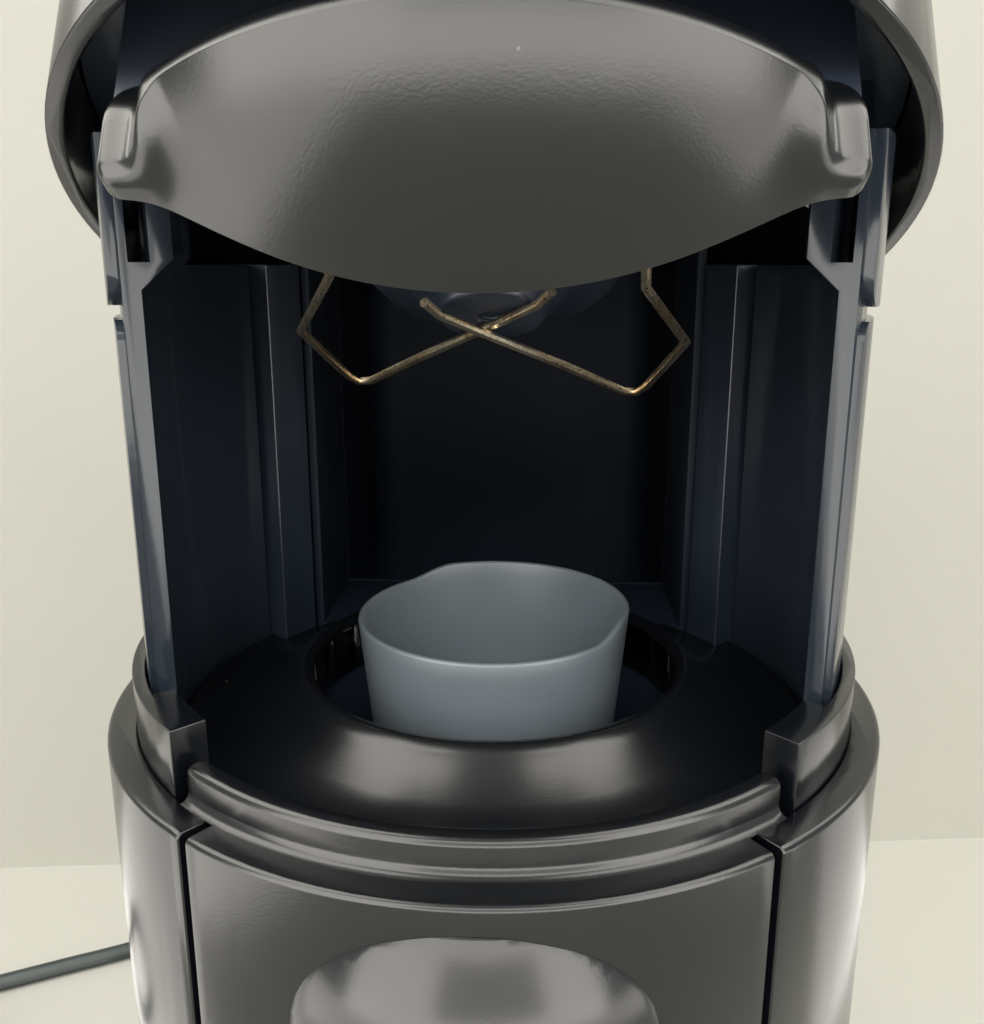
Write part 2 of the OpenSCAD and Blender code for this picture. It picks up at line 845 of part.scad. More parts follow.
// Rack teeth along a plane; the pitch line lies on the face y = 0, teeth point to -y
module rack_teeth(count) {
    pitch = PI * gear_module;
    half = pitch / 4 - backlash;
    add = 0.8 * gear_module;
    ded = 1.2 * gear_module;
    for (i = [0 : count - 1])
        translate([0, 0, i * pitch])
            rotate([90, 0, 90])
                linear_extrude(height = gear_w)
                    polygon([[ded, -half - ded * tan(20)], [-add, -half + add * tan(20)],
                             [-add, half - add * tan(20)], [ded, half + ded * tan(20)]]);
}

module lift_rack() {
    pitch = PI * gear_module;
    count = floor((yoke_bottom - rack_bottom) / pitch) - 1;
    phase = pinion_z - pitch * floor((pinion_z - rack_bottom) / pitch);
    color("#d8d6cc") on_shoulder() {
        translate([-gear_w / 2, rack_face + 1.1, rack_bottom])
            cube([gear_w, rack_back - rack_face - 1.1, yoke_bottom - rack_bottom]);
        translate([-gear_w / 2, rack_face, phase + pitch / 2])
            rack_teeth(count);
    }
}

// One involute flank from the base circle outwards, degrees turned to points
function involute(base_r, t) =
    [base_r * (cos(t) + t * PI / 180 * sin(t)), base_r * (sin(t) - t * PI / 180 * cos(t))];

module pinion_plan() {
    base_r = pinion_r * cos(20);
    tip_r = pinion_r + 0.8 * gear_module;
    root_r = pinion_r - 1.2 * gear_module;
    t_tip = sqrt(pow(tip_r / base_r, 2) - 1) * 180 / PI;
    t_pitch = sqrt(pow(pinion_r / base_r, 2) - 1) * 180 / PI;
    at_pitch = involute(base_r, t_pitch);
    half_tooth = 90 / pinion_teeth - backlash / pinion_r * 180 / PI;
    turn = atan2(at_pitch[1], at_pitch[0]) + half_tooth;
    steps = 5;
    flank = [for (i = [0 : steps]) involute(base_r, t_tip * i / steps)];
    circle(r = root_r);
    for (k = [0 : pinion_teeth - 1])
        rotate(k * 360 / pinion_teeth)
            polygon(concat([[0, 0]],
                [for (p = flank) [p[0] * cos(turn) + p[1] * sin(turn), -p[0] * sin(turn) + p[1] * cos(turn)]],
                [for (i = [steps : -1 : 0]) let (p = flank[i])
                    [p[0] * cos(turn) + p[1] * sin(turn), p[0] * sin(turn) - p[1] * cos(turn)]]));
}

module lift_pinion() {
    shaft_r = 2;
    color("#d8d6cc") on_shoulder()
        translate([0, pinion_y, pinion_z]) {
            translate([-gear_w / 2, 0, 0])
                rotate([90, 0, 90])
                    linear_extrude(height = gear_w)
                        pinion_plan();
            translate([gear_w / 2, 0, 0])
                rotate([0, 90, 0])
                    cylinder(r = shaft_r, h = 6);
        }
}

// Gearbox and motor that turn the pinion
module lift_gearmotor() {
    shaft_r = 2;
    box_x = gear_w / 2 + 1;
    color("#55585c") on_shoulder() {
        difference() {
            translate([box_x, 27, pinion_z - 9]) cube([9, pinion_y - 27 + 4, 18 - 1]);
            translate([box_x - cut, pinion_y, pinion_z])
                rotate([0, 90, 0])
                    cylinder(r = shaft_r + fit, h = 9);
        }
        translate([box_x + 9, 37, pinion_z - 1.5])
            rotate([0, 90, 0])
                cylinder(r = 7.5, h = 30);
        // bracket to the unit floor
        translate([box_x, 30, floor_bottom - 1.2 - 0.6])
            cube([9, 14, 1.8]);
    }
}

module hinge_pins() {
    color("#c9cbcc") on_shoulder()
        for (side = [0, 1])
            mirror([side, 0, 0])
                translate([block_in + 0.6, -hinge_front, hinge_open])
                    rotate([0, 90, 0])
                        cylinder(r = hinge_pin_r, h = pin_end - block_in - 0.6);
}

// Head shell: straight wall, round shoulder, gently domed top; open behind
crown = 2;

function head_profile(r, h, round_r, rise) = concat(
    [[0, 0], [r, 0]],
    arc(r - round_r, h - round_r, round_r, 0, 80, 12),
    [[(r - round_r) * 0.6, h + rise * 0.55], [(r - round_r) * 0.3, h + rise * 0.9], [0, h + rise]]);

module head_shell() {
    color("#141619") in_head()
        difference() {
            rotate_extrude() polygon(head_profile(head_r, head_h, head_round, crown));
            translate([0, 0, -rim_w])
                rotate_extrude() polygon(head_profile(head_r - rim_w, head_h, head_round - rim_w, crown));
            translate([-2 * head_r, head_cut, -cut]) cube([4 * head_r, 2 * head_r, 2 * head_h]);
            // button
            translate([0, button_y, head_h - 10]) cylinder(r = button_r + seat, h = 20);
            // lever
            translate([-lever_w / 2 - seat, -head_r - cut, lever_z - 2.4])
                cube([lever_w + 2 * seat, 12, 6.4]);
        }
}
button_y = -18;
button_seat = 4;           // depth of the button's underside below the head's height
lever_z = 12;
lever_back = 58;
lever_axle_r = 1.2;

// Satin chin: a ball-shaped skin with a rolled upper edge, between two flat ears
chin_t = 2.6;
chin_from_r = chin_cut - 1;

function chin_angle(r) = asin(r / chin_ball_r);
function chin_in_angle(r) = asin(r / (chin_ball_r - chin_t));

function chin_profile() = concat(
    [for (i = [0 : 8]) let (t = chin_angle(chin_from_r) + (chin_angle(chin_r - 0.5) - chin_angle(chin_from_r)) * i / 8)
        [chin_ball_r * sin(t), ball_centre - chin_ball_r * cos(t)]],
    arc(chin_r - 3, -chin_edge + 1.5, 3, 0, 100, 5),
    [for (i = [6 : -1 : 0]) let (t = chin_in_angle(chin_from_r) + (chin_in_angle(59) - chin_in_angle(chin_from_r)) * i / 6)
        [(chin_ball_r - chin_t) * sin(t), ball_centre - (chin_ball_r - chin_t) * cos(t)]]);

module head_cover() {
    ear_in = 55.5;
    color("#33373b") in_head()
        difference() {
            union() {
                swept(-60, 60, chin_profile());
                for (side = [-1, 1])
                    swept(side * 55 - 15, side * 55 + 15,
                        [[ear_in, -ear_depth], [chin_r - 2.5, -ear_depth], [chin_r - 0.7, -ear_depth + 0.7],
                         [chin_r - 0.05, -ear_depth + 2.5], [chin_r - 0.05, -chin_edge + 1], [ear_in, -chin_edge - 1]]);
            }
            translate([-head_r, -chin_cut, -head_r]) cube([2 * head_r, head_r, 2 * head_r]);
        }
}

// Frame inside the head: plate, back wall, hinge ears and a rib that carries the chin
plate_d = 2.4;

module head_frame() {
    frame_r = head_r - rim_w - seat;
    back_t = 2.4;
    ear_x = slot_x + ear_clear;
    ear_t = ear_slot_w - 2 * ear_clear;
    color("#26282b") in_head()
        difference() {
            union() {
                intersection() {
                    translate([0, 0, frame_z]) cylinder(r = frame_r, h = frame_t);
                    translate([-100, -100, 0]) cube([200, 100 + head_cut - 0.4, 100]);
                }
                // back wall under the dome
                intersection() {
                    translate([0, 0, -rim_w - seat])
                        rotate_extrude() polygon(head_profile(frame_r, head_h, head_round - rim_w - seat, crown));
                    translate([-100, head_cut - 0.4 - back_t, frame_z]) cube([200, back_t, 100]);
                }
                // hinge ears
                for (side = [0, 1])
                    mirror([side, 0, 0]) {
                        translate([ear_x, -hinge_front, hinge_rise])
                            rotate([0, 90, 0])
                                cylinder(r = ear_r, h = ear_t);
                        translate([ear_x, -hinge_front - ear_r, hinge_rise])
                            cube([ear_t, 2 * ear_r, frame_z - hinge_rise + 1]);
                    }
                // post that carries the piercing hub
                translate([0, 0, -2]) cylinder(r = 24, h = frame_z + 3);
                // plate that closes the chin from behind
                intersection() {
                    translate([0, -chin_cut, ball_centre])
                        rotate([-90, 0, 0])
                            cylinder(r = sqrt(pow(chin_ball_r - 1.2, 2) - pow(chin_cut, 2)), h = plate_d);
                    translate([-50, -chin_cut - cut, -head_r])
                        cube([100, 10, head_r + frame_z + 1]);
                }
                // lugs of the lever's axle
                for (side = [-1, 1])
                    translate([side * (lever_w / 2 + 2) - 1.7, -lever_back - 3, lever_z - 2])
                        cube([3.4, 6, frame_z - lever_z + 3]);
            }
            for (side = [0, 1])
                mirror([side, 0, 0])
                    translate([ear_x - 2, -hinge_front, hinge_rise])
                        rotate([0, 90, 0])
                            cylinder(r = hinge_pin_r + fit, h = ear_t + 4);
            // bore of the lever's axle
            translate([-lever_w, -lever_back, lever_z + 0.5])
                rotate([0, 90, 0])
                    cylinder(r = lever_axle_r + fit, h = 2 * lever_w);
            // room for the button's stem
            translate([0, button_y, frame_z - cut]) cylinder(r = 3, h = frame_t + 2 * cut);
        }
}

// Piercing hub with its needle nose
module brew_hub() {
    color("#1d1f22") in_head()
        rotate_extrude()
            polygon([[0, -2], [22, -2], [22, -8], [20, -10], [14, -11], [12.5, -13], [hub_tip_r + 1, -14.5],
                     [hub_tip_r, -hub_depth], [2, -hub_depth], [2, -hub_depth + 1], [0, -hub_depth + 1]]);
}

// Sweep of a round wire along points, ends closed
function unit(v) = v / norm(v);
function side_of(t) = unit(cross(abs(t[2]) > 0.9 ? [1, 0, 0] : [0, 0, 1], t));
function along(path, i) =
    unit(path[min(i + 1, len(path) - 1)] - path[max(i - 1, 0)]);

module tube(path, r, sides) {
    n = len(path);
    points = [for (i = [0 : n - 1])
        let (t = along(path, i), u = side_of(t), v = cross(t, u))
            for (k = [0 : sides - 1]) path[i] + r * (cos(360 * k / sides) * u + sin(360 * k / sides) * v)];
    walls = [for (i = [0 : n - 2]) for (k = [0 : sides - 1])
        let (a = i * sides + k, b = i * sides + (k + 1) % sides)
            for (half = [0, 1]) half == 0 ? [a, b, b + sides] : [a, b + sides, a + sides]];
    polyhedron(points = points, faces = concat(walls,
        [[for (k = [sides - 1 : -1 : 0]) k]], [[for (k = [0 : sides - 1]) (n - 1) * sides + k]]));
}

// Ejector wire in the head's own frame: from the chin's plate to a rear corner, then under the hub
wire_z = -hub_depth - wire_d / 2 - seat;
wire_path = [[-21, -chin_cut + plate_d + 0.6, wire_z + 8], [-23, -28, wire_z + 4], [-24, -17, wire_z],
    [-28, -8, wire_z], [-33, 3, wire_z], [-30.5, 15, wire_z], [-28.5, 24, wire_z], [-27, 27, wire_z],
    [-24.5, 26.5, wire_z], [-13, 14, wire_z], [0, 1, wire_z], [8, -7.5, wire_z], [10, -12, wire_z]];

// The right wire runs below the left one where they cross
module ejector_wire(side) {
    drop = side > 0 ? wire_d + seat : 0;
    color("#cfc6ae") in_head()
        mirror([side > 0 ? 1 : 0, 0, 0])
            tube([for (p = wire_path) p - [0, 0, drop]], wire_d / 2, 8);
}

module ejector_wire_left() {
    ejector_wire(-1);
}

module ejector_wire_right() {
    ejector_wire(1);
}

// Lever in the head's front, on an axle at its rear edge
module opening_lever() {
    lever_reach = 8;
    color("#b8babb") in_head() {
        translate([-lever_w / 2, -head_r - lever_reach, lever_z - 1])
            cube([lever_w, head_r + lever_reach - lever_back, 3]);
        translate([-lever_w / 2, -lever_back, lever_z + 0.5])
            rotate([0, 90, 0])
                cylinder(r = 1.9, h = lever_w);
        translate([-lever_w / 2 - 3, -lever_back, lever_z + 0.5])
            rotate([0, 90, 0])
                cylinder(r = lever_axle_r, h = lever_w + 6);
    }
}

module start_button() {
    color("#c2c4c5") in_head() {
        translate([0, button_y, head_h - button_seat])
            cylinder(r = button_r, h = button_seat + 0.5 + button_travel);
        translate([0, button_y, head_h - 12]) cylinder(r = 2.6, h = 12 - button_seat + 1);
    }
}

module button_spring() {
    coil_r = 5;
    wire_r = 0.5;
    turns = 5;
    low = frame_z + frame_t + wire_r;
    high = head_h - button_seat - wire_r;
    rings_per_turn = 10;
    n = turns * rings_per_turn;
    color("#c9cbcc") in_head()
        translate([0, button_y, 0])
            tube([for (i = [0 : n]) [coil_r * cos(360 * i / rings_per_turn), coil_r * sin(360 * i / rings_per_turn),
                low + (high - low) * i / n]], wire_r, 6);
}

// Fixed hood behind the head
function hood_profile(r, z_top, round_r) = concat(
    [[0, 0], [r, 0]], arc(r - round_r, z_top - round_r, round_r, 0, 90, 8), [[0, z_top]]);

module rear_hood() {
    color("#15171a") on_shoulder()
        difference() {
            rotate_extrude() polygon(hood_profile(hood_r, hood_top, hood_round));
            translate([0, 0, -cut])
                rotate_extrude() polygon(hood_profile(hood_r - hood_t, hood_top - hood_t + cut, hood_round - hood_t));
            translate([-2 * hood_r, -2 * hood_r, -cut]) cube([4 * hood_r, 2 * hood_r + hood_y, 2 * hood_top]);
            chute_space();
        }
}

// Tunnel through which used pods slide back into the bin
module pod_chute() {
    color("#1b1d20") on_shoulder()
        difference() {
            translate([-chute_out_w / 2, chute_y, chute_floor])
                cube([chute_out_w, bin_y - seat - chute_y, chute_top - chute_floor]);
            translate([-chute_w / 2, chute_y - cut, chute_floor + chute_t])
                cube([chute_w, bin_y, chute_top - chute_floor - 2 * chute_t]);
        }
}

module bin_plan(inset = 0) {
    translate([-bin_w / 2 + inset, bin_y + inset])
        square([bin_w - 2 * inset, bin_d - bin_round - inset]);
    translate([-bin_w / 2 + bin_round, bin_y + inset])
        square([bin_w - 2 * bin_round, bin_d - 2 * inset]);
    for (side = [-1, 1])
        translate([side * (bin_w / 2 - bin_round), bin_y + bin_d - bin_round])
            circle(r = bin_round - inset);
}

// Tall bin for used pods, open towards the chute; it lifts straight up
module used_pod_bin() {
    color("#17191c")
        difference() {
            translate([0, 0, bin_z])
                linear_extrude(height = bin_top - handle_t - bin_z)
                    bin_plan();
            translate([0, 0, bin_z + bin_t])
                linear_extrude(height = bin_top)
                    bin_plan(bin_t);
            translate([-chute_w / 2, bin_y - cut, shoulder_h + chute_floor + chute_t])
                cube([chute_w, bin_t + 2 * cut, chute_top - chute_floor - 2 * chute_t]);
        }
}

// Lid of the bin, with a hollow to lift it by
module bin_handle() {
    grip_w = 40;
    grip_d = 16;
    color("#1f2124")
        difference() {
            translate([0, 0, bin_top - handle_t])
                linear_extrude(height = handle_t)
                    bin_plan();
            translate([-grip_w / 2, bin_y + bin_d - grip_d - 8, bin_top - handle_t + 1.6])
                cube([grip_w, grip_d, handle_t]);
        }
}

// Water tank on the base's tail
module tank_plan(inset = 0) {
    translate([-tank_w / 2 + inset, tank_front_y + inset])
        square([tank_w - 2 * inset, tank_d - tank_round - inset]);
    translate([-tank_w / 2 + tank_round, tank_front_y + inset])
        square([tank_w - 2 * tank_round, tank_d - 2 * inset]);
    for (side = [-1, 1])
        translate([side * (tank_w / 2 - tank_round), tank_back_y - tank_round])
            circle(r = tank_round - inset);
}

valve_r = 9;
tank_rim = tank_z + tank_h;
lid_t = 3;
lid_pin_y = tank_front_y + 4;
lid_pin_z = tank_rim + seat + lid_t / 2;
lid_ear_w = 4;
lid_ear_d = 6.5;
lid_swing_r = norm([tank_front_y + lid_ear_d - lid_pin_y, lid_t / 2]);   // what the lid's notch has to clear
lid_ear_x = tank_w / 2 - 8;

module water_tank() {
    color("#5a6064")
        difference() {
            union() {
                difference() {
                    translate([0, 0, tank_z]) linear_extrude(height = tank_h) tank_plan();
                    translate([0, 0, tank_z + tank_t]) linear_extrude(height = tank_h) tank_plan(tank_t);
                }
                for (side = [-1, 1])
                    translate([side * lid_ear_x - lid_ear_w / 2, tank_front_y, tank_rim - 6])
                        cube([lid_ear_w, lid_ear_d, 6 + seat + lid_t]);
            }
            translate([0, tank_front_y + tank_d / 2, tank_z - cut])
                cylinder(r = valve_r - 3, h = tank_t + 2 * cut);
            // bores for the lid's pins
            translate([-tank_w, lid_pin_y, lid_pin_z])
                rotate([0, 90, 0])
                    cylinder(r = lid_pin_r + fit, h = 2 * tank_w);
        }
}

module tank_lid() {
    notch_w = lid_ear_w + 2 * seat;
    color("#1a1c1f")
        difference() {
            union() {
                intersection() {
                    translate([0, 0, tank_rim + seat]) linear_extrude(height = lid_t) tank_plan();
                    translate([-tank_w, lid_pin_y, tank_rim])
                        cube([2 * tank_w, tank_d, 2 * lid_t]);
                }
                translate([-lid_ear_x + lid_ear_w, lid_pin_y, lid_pin_z])
                    rotate([0, 90, 0])
                        cylinder(r = lid_t / 2, h = 2 * (lid_ear_x - lid_ear_w));
            }
            for (side = [-1, 1])
                translate([side * lid_ear_x - notch_w / 2, tank_front_y - cut, tank_rim])
                    cube([notch_w, cut + lid_pin_y - tank_front_y + lid_swing_r + seat, 3 * lid_t]);
            // thumb notch
            translate([-12, tank_back_y - 4, tank_rim])
                cube([24, 10, 10]);
        }
    color("#1a1c1f")
        for (side = [-1, 1])
            translate([side * lid_ear_x - lid_ear_w, lid_pin_y, lid_pin_z])
                rotate([0, 90, 0])
                    cylinder(r = lid_pin_r, h = 2 * lid_ear_w);
}

module tank_valve() {
    color("#c8cacb")
        translate([0, tank_front_y + tank_d / 2, 0])
            difference() {
                union() {
                    translate([0, 0, tank_z - 5]) cylinder(r = valve_r - 3 - fit, h = 5 + tank_t);
                    translate([0, 0, tank_z + tank_t]) cylinder(r = valve_r, h = 4);
                }
                translate([0, 0, tank_z - 5 - cut]) cylinder(r = 3, h = 20);
            }
}

module tank_seal() {
    color("#a8aaa6")
        translate([0, tank_front_y + tank_d / 2, 0])
            ring(valve_r - 3 + seat, valve_r, base_h - shell_t - 4, base_h - seat);
}

// Works in the rear column
pump_at = [-33, 40];
boiler_at = [27, 40];
works_h = 73;              // height of the pump's and the boiler's outlets above the base
pipe_r = 2.5;

module water_pump() {
    pump_r = 11;
    foot_z = 6;
    coil_z = 52;
    head_z = 66;
    color("#d9d8d2")
        translate([pump_at[0], pump_at[1], base_h]) {
            translate([-pump_r, -pump_r, 0]) cube([2 * pump_r, 2 * pump_r, foot_z]);
            translate([0, 0, foot_z]) cylinder(r = pump_r, h = coil_z - foot_z);
            translate([0, 0, coil_z]) cylinder(r = 7, h = head_z - coil_z);
            translate([0, 0, head_z]) cylinder(r = 3, h = works_h - head_z);
        }
}

module boiler() {
    leg_h = 8;
    tank_len = 50;
    color("#a4a7a9")
        translate([boiler_at[0], boiler_at[1], base_h]) {
            for (a = [45 : 90 : 315])
                rotate([0, 0, a]) translate([13, 0, 0]) cylinder(r = 2, h = leg_h + 1);
            translate([0, 0, leg_h]) cylinder(r = 17, h = tank_len);
            translate([0, 0, leg_h + tank_len]) cylinder(r = 4, h = works_h - leg_h - tank_len);
        }
}

module water_pipes() {
    pipe_z = base_h + works_h + pipe_r;
    color("#e0e2e2") {
        // from the pump across to the boiler
        translate([pump_at[0] - 3, pump_at[1], pipe_z])
            rotate([0, 90, 0])
                cylinder(r = pipe_r, h = boiler_at[0] - pump_at[0] + 6);
        // and up to the floor of the brewing unit
        translate([-10, pump_at[1], pipe_z])
            cylinder(r = pipe_r, h = shoulder_h - unit_depth - pipe_z);
    }
}

module control_board() {
    board_t = 1.6;
    board_w = 76;
    board_h = 44;
    board_z = base_h + 64;
    color("#2c5c44")
        translate([-board_w / 2, column_front_y + column_wall_t, board_z]) {
            cube([board_w, board_t, board_h]);
            translate([6, board_t, 8]) cube([14, 5, 12]);
            translate([30, board_t, 20]) cube([9, 5, 9]);
            translate([50, board_t, 26]) cube([16, 5, 16]);
        }
}

// Screws that hold the base plate
module case_screws() {
    screw_r = 3;
    screw_h = 0.8;
    screw_circle = body_r - 6.2;
    cross_l = 2 * screw_r - 1.2;
    cross_w = 1;
    cross_h = screw_h / 2;
    tail_screw_x = tail_foot_x - tail_foot_r - 3 * screw_r;
    round_body = [for (angle = [45, 135, 225, 315]) screw_circle * [cos(angle), sin(angle)]];
    tail = [for (side = [-1, 1]) [side * tail_screw_x, tail_foot_y - 2]];
    color("#b0b3b5")
        for (at = concat(round_body, tail))
            translate([at[0], at[1], foot_h - screw_h])
                difference() {
                    cylinder(r = screw_r, h = screw_h);
                    translate([-cross_w / 2, -cross_l / 2, -cut]) cube([cross_w, cross_l, cut + cross_h]);
                    translate([-cross_l / 2, -cross_w / 2, -cut]) cube([cross_l, cross_w, cut + cross_h]);
                }
}

// Mains cord
relief_neck_r = cord_r + 1.6;

module strain_relief() {
    color("#1b1c1d")
        translate([exit_x, tail_back_y, exit_z])
            rotate([-90, 0, 0])
                difference() {
                    union() {
                        translate([0, 0, -shell_t]) cylinder(r = relief_neck_r, h = shell_t);
                        cylinder(r = relief_neck_r + 1.4, h = 2);
                        translate([0, 0, 2]) cylinder(r1 = relief_neck_r, r2 = cord_r + 0.5, h = relief_l - 2);
                    }
                    translate([0, 0, -shell_t - cut]) cylinder(r = cord_r - 1, h = relief_l + shell_t - 2);
                }
}

module mains_cord() {
    color("#3c4242")
        translate([cord_start[0], cord_start[1], 0]) {
            tube(cord_route, cord_r, 10);
            translate([coil_at[0], coil_at[1], 0])
                tube(tail_route, cord_r, 10);
        }
}

module cord_coil() {
    color("#3c4242")
        translate([cord_start[0] + coil_at[0], cord_start[1] + coil_at[1], 0])
            rotate_extrude()
                translate([coil_mid_r - cord_r, 0])
                    square([cord_d, coil_turns * cord_d]);
}

// Flat two-pin plug lying on the table beside the coil
plug_neck_l = 14;
plug_neck_r = cord_r + 1.4;
plug_shoulder = 10;        // length over which the body widens
plug_pin_r = 2;
plug_pin_l = 19;
plug_pin_gap = 18.6;

module mains_plug() {
    color("#2a2c2d")
        translate([cord_start[0] + coil_at[0] + tail_route[5][0], cord_start[1] + coil_at[1] + tail_route[5][1], 0]) {
            translate([0, 0, plug_t / 2])
                rotate([0, 90, 0])
                    cylinder(r1 = cord_r + 0.4, r2 = plug_neck_r, h = plug_neck_l + 0.5);
            translate([plug_neck_l, 0, 0])
                linear_extrude(height = plug_t)
                    polygon([[0, -plug_neck_r - 1], [plug_shoulder, -plug_w / 2], [plug_l, -plug_w / 2],
                        [plug_l, plug_w / 2], [plug_shoulder, plug_w / 2], [0, plug_neck_r + 1]]);
            for (side = [-1, 1])
                translate([plug_neck_l + plug_l - 0.5, side * plug_pin_gap / 2, plug_t / 2])
                    rotate([0, 90, 0])
                        cylinder(r = plug_pin_r, h = plug_pin_l + 0.5);
        }
}

rubber_feet();
base_plate();
base_shell();
drip_tray();
drip_grid();
column_front();
rear_shell();
side_shell_left();
side_shell_right();
front_cover();
spout_cover();
coffee_spout();
coffee_duct();
unit_floor();
guide_frame();
guard_ring();
deck_dish();
collector_bowl();
holder_bearing();
pod_holder();
holder_spindle();
drive_belt();
motor_pulley();
spin_motor();
lift_column_left();
lift_column_right();
head_arm_left();
head_arm_right();
lift_yoke();
lift_rack();
lift_pinion();
lift_gearmotor();
hinge_pins();
head_shell();
head_cover();
head_frame();
brew_hub();
ejector_wire_left();
ejector_wire_right();
opening_lever();
start_button();
button_spring();
rear_hood();
used_pod_bin();
bin_handle();
pod_chute();
water_tank();
tank_lid();
tank_valve();
tank_seal();
water_pump();
boiler();
water_pipes();
control_board();
case_screws();
strain_relief();
mains_cord();
cord_coil();
mains_plug();
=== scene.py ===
import json
import math
import bmesh
import bpy
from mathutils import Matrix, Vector


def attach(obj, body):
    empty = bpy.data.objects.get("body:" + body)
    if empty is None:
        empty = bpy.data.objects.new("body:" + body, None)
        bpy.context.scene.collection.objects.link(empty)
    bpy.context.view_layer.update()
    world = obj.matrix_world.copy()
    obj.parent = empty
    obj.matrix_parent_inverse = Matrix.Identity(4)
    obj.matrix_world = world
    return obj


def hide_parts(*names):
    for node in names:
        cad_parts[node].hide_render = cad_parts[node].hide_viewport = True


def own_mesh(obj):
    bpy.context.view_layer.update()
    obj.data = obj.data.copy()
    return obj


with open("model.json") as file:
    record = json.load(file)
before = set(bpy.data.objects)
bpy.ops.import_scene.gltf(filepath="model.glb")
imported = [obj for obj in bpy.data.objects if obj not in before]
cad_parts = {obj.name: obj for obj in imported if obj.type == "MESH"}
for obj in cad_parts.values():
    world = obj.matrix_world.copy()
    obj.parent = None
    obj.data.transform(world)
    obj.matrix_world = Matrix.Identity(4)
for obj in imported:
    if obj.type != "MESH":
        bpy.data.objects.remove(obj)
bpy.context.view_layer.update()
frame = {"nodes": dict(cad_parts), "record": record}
nodes = frame["nodes"]
record = frame["record"]
bodyOf = {node: body for body, members in record["behaviour"]["bodies"].items() for node in members}
slotOf = {part["node"]: part["material_slot"] for part in record["subparts"]}

mm = 0.001
shoulder = 233          # height of the machine's round shoulder above the table, in mm

print("stage: materials")


def hexLinear(code):
    parts = [int(code[i:i + 2], 16) / 255 for i in (0, 2, 4)]
    return tuple(p / 12.92 if p <= 0.04045 else ((p + 0.055) / 1.055) ** 2.4 for p in parts) + (1.0,)


def addNode(tree, kind, settings=None, links=None):
    # a key that is one of the node's sockets sets that socket, any other key sets the node itself
    node = tree.nodes.new(kind)
    for key, value in (settings or {}).items():
        if isinstance(key, int) or key in node.inputs:
            node.inputs[key].default_value = value
        else:
            setattr(node, key, value)
    for key, source in (links or {}).items():
        tree.links.new(source, node.inputs[key])
    return node


def newMaterial(name):
    material = bpy.data.materials.new(name)
    material.use_nodes = True
    material.node_tree.nodes.clear()
    return material, material.node_tree


# settled dust: some cells hold a speck, solid out to one share of the cell's width and gone at the next
dust = {"cellMm": 5.0, "solid": 0.03, "faded": 0.06, "colour": "8F8E88"}
# a plastic's drift swings its roughness over this range of the noise; grainDepth is a share of grainMm
mould = {"low": 0.3, "high": 0.7, "grainDepth": 0.3, "ior": 1.5}
# a metal's streaks swing its roughness, and its tarnish its colour, over these ranges of the noise
drawn = {"low": 0.3, "high": 0.7, "tarnishLow": 0.35, "tarnishHigh": 0.7, "streakDepthMm": 0.05}


def dustSpecks(tree, place, share):
    cells = addNode(tree, "ShaderNodeTexVoronoi", {"Scale": 1 / (dust["cellMm"] * mm), "Randomness": 1.0},
                    {"Vector": place})
    dot = addNode(tree, "ShaderNodeMapRange",
                  {"From Min": dust["solid"], "From Max": dust["faded"], "To Min": 1.0, "To Max": 0.0},
                  {"Value": cells.outputs["Distance"]})
    draw = addNode(tree, "ShaderNodeSeparateColor", None, {"Color": cells.outputs["Color"]})
    chosen = addNode(tree, "ShaderNodeMath", {"operation": "LESS_THAN", 1: share}, {0: draw.outputs["Red"]})
    specks = addNode(tree, "ShaderNodeMath", {"operation": "MULTIPLY"},
                     {0: dot.outputs["Result"], 1: chosen.outputs["Value"]})
    return specks.outputs["Value"]


def plastic(name, look):
    # moulded plastic: a slow drift in colour and sheen, the mould's grain and on some pieces settled dust;
    # a real grain of under 0.1 mm is drawn coarser so that it shows
    material, tree = newMaterial(name)
    place = addNode(tree, "ShaderNodeTexCoord").outputs["Object"]
    drift = addNode(tree, "ShaderNodeTexNoise",
                    {"Scale": 1 / (look["driftMm"] * mm), "Detail": 4.0, "Roughness": 0.55},
                    {"Vector": place})
    grain = addNode(tree, "ShaderNodeTexNoise",
                    {"Scale": 1 / (look["grainMm"] * mm), "Detail": 3.0, "Roughness": 0.55},
                    {"Vector": place})
    tint = addNode(tree, "ShaderNodeMix",
                   {"data_type": "RGBA", 6: hexLinear(look["colour"]), 7: hexLinear(look["second"])},
                   {0: drift.outputs["Fac"]})
    sheen = addNode(tree, "ShaderNodeMapRange",
                    {"From Min": mould["low"], "From Max": mould["high"],
                     "To Min": look["rough"] - look["roughDrift"],
                     "To Max": look["rough"] + look["roughDrift"]},
                    {"Value": drift.outputs["Fac"]})
    colour, rough = tint.outputs[2], sheen.outputs["Result"]
    if look.get("dust"):
        specks = dustSpecks(tree, place, look["dust"])
        dusted = addNode(tree, "ShaderNodeMix", {"data_type": "RGBA", 7: hexLinear(dust["colour"])},
                         {0: specks, 6: colour})
        dulled = addNode(tree, "ShaderNodeMath", {"operation": "MAXIMUM"}, {0: rough, 1: specks})
        colour, rough = dusted.outputs[2], dulled.outputs["Value"]
    bump = addNode(tree, "ShaderNodeBump",
                   {"Strength": look["bump"], "Distance": look["grainMm"] * mould["grainDepth"] * mm},
                   {"Height": grain.outputs["Fac"]})
    shader = addNode(tree, "ShaderNodeBsdfPrincipled",
                     {"IOR": mould["ior"], "Specular IOR Level": look.get("shine", 0.5),
                      "Transmission Weight": look.get("clear", 0.0)},
                     {"Base Color": colour, "Roughness": rough, "Normal": bump.outputs["Normal"]})
    addNode(tree, "ShaderNodeOutputMaterial", None, {"Surface": shader.outputs["BSDF"]})
    return material


